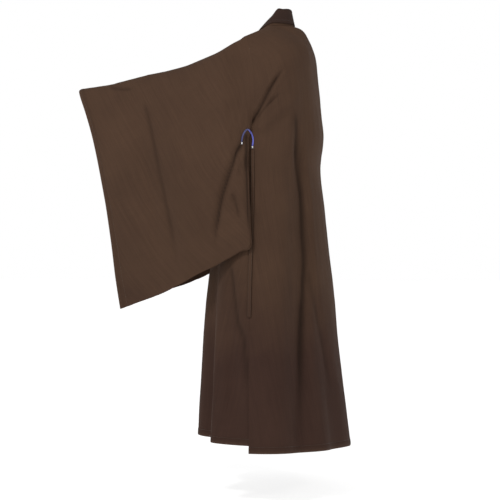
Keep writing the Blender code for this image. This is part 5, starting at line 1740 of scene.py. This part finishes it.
def thread_finish(name, colour, rough, twist, sheen):
    """Twisted thread: slanting ridges as bump, painted shade in the grooves between them, and painted shadow
    where a piece is marked as lying in a fold.
    """
    material, shader = material_with(name, colour, rough)
    tree = material.node_tree
    place = node(tree, "TexCoord").outputs["Object"]
    turned = node(tree, "Mapping", {"Vector": place, "Rotation": (0.5, 0.9, 0.4)}).outputs["Vector"]
    ridges = node(tree, "TexWave", {"Vector": turned, "Scale": twist, "Distortion": 0.6},
                  wave_type="BANDS", bands_direction="X").outputs["Fac"]
    spots = noise_of(tree, place, 700.0, 3.0)
    # Painted shade in the grooves between the ridges, with random spots of tone.
    tone = maths(tree, "MULTIPLY", ridges, span(tree, spots, 0.3, 0.7, 0.55, 1.0))
    colour_out = blend_colour(tree, tone, tuple(c * 0.62 for c in colour), colour)
    # Painted shadow: where a piece is marked as lying in a fold, its colour is darkened.
    fold = node(tree, "Attribute", attribute_name="painted_fold_shade").outputs["Fac"]
    shaded = maths(tree, "MULTIPLY", fold, 0.85)
    colour_out = blend_colour(tree, shaded, colour_out, tuple(c * 0.12 for c in colour))
    tree.links.new(colour_out, shader.inputs["Base Color"])
    tree.links.new(span(tree, spots, 0.3, 0.7, rough - 0.1, rough + 0.1), shader.inputs["Roughness"])
    bump = node(tree, "Bump", {"Height": ridges, "Strength": 0.5, "Distance": 0.0002})
    tree.links.new(bump.outputs["Normal"], shader.inputs["Normal"])
    shader.inputs["Sheen Weight"].default_value = sheen
    return material


blue_piping = thread_finish("piping_satin", PIPING_BLUE, 0.42, 330.0, 0.2)
white_thread = thread_finish("tack_thread", TACK_WHITE, 0.55, 500.0, 0.1)
brown_thread = thread_finish("robe_thread", tuple(c * 0.85 for c in ROBE_LIGHT), 0.7, 500.0, 0.1)
dark_thread = thread_finish("guard_thread", (0.030, 0.020, 0.016), 0.7, 500.0, 0.1)

# %% [markdown]
# ## Finishes, the body and the cut sizes
#
# Every piece rides on the robe's one body and stands for its CAD solid, which is then hidden.
# For each sheet of cloth we print the size that it was cut to, all round for a tube. We measure those
# sizes along the surface we made, since the folds are in it.


def settle(obj, material, *nodes):
    """Gives a piece its finish, puts it on the body, and hides the CAD solids that it stands for."""
    obj.data.materials.clear()
    obj.data.materials.append(material)
    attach(obj, "root")
    if nodes:
        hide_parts(*nodes)


for name, obj in cloths.items():
    settle(obj, robe_cloth, name)
settle(guard, dark_cloth, "neck_guard")
for name, obj in ties.items():
    settle(obj, tie_cloth, name)
for name, obj in arches.items():
    settle(obj, blue_piping, "underarm_arch_" + name)
for name, obj in tacks.items():
    settle(obj, white_thread, "bar_tack_" + name)
for name, obj in threads.items():
    settle(obj, dark_thread if name == "neck_guard" else brown_thread)


# %% Flat sizes of the cut
TIE_CUT, TIE_LENGTHS = 0.0135, {"tie_left_long": 0.52, "tie_right_front": 0.30, "tie_right_side": 0.30}
PIPING_CUT, PIPING_LENGTH = 0.0135, 0.095
GUARD_CUT, KNOT_CUT = 0.075, 0.030


def flat_of(obj):
    """Half of a wall's surface: the cloth's area."""
    mesh = obj.data
    area = np.empty(len(mesh.polygons))
    mesh.polygons.foreach_get("area", area)
    return float(area.sum()) / 2


def declare(obj, width, length):
    """Prints a sheet's cut and its area."""
    area = min(flat_of(obj), width * length)
    print(f"{obj.name}: cut {width:.3f} x {length:.3f} m, {area:.3f} square metres")


for name, piece in dressed.items():
    down, across, girth = lengths(piece["points"], piece["around"])
    declare(cloths[name], float(girth.max()), float(down[-1].max()))
down, across, girth = lengths(fine_collar)
declare(cloths["collar"], float(girth.max()), float(down[-1].max()))
guard_long = float(down[-1].max()) * (guard_last - guard_first) / (len(fine_collar) - 1) * 1.1
declare(guard, GUARD_CUT, guard_long)
for name, long in TIE_LENGTHS.items():
    declare(ties[name], TIE_CUT, long)
declare(ties["tie_right_knot"], KNOT_CUT, KNOT_CUT)
for name in arches:
    declare(arches[name], PIPING_CUT, PIPING_LENGTH)
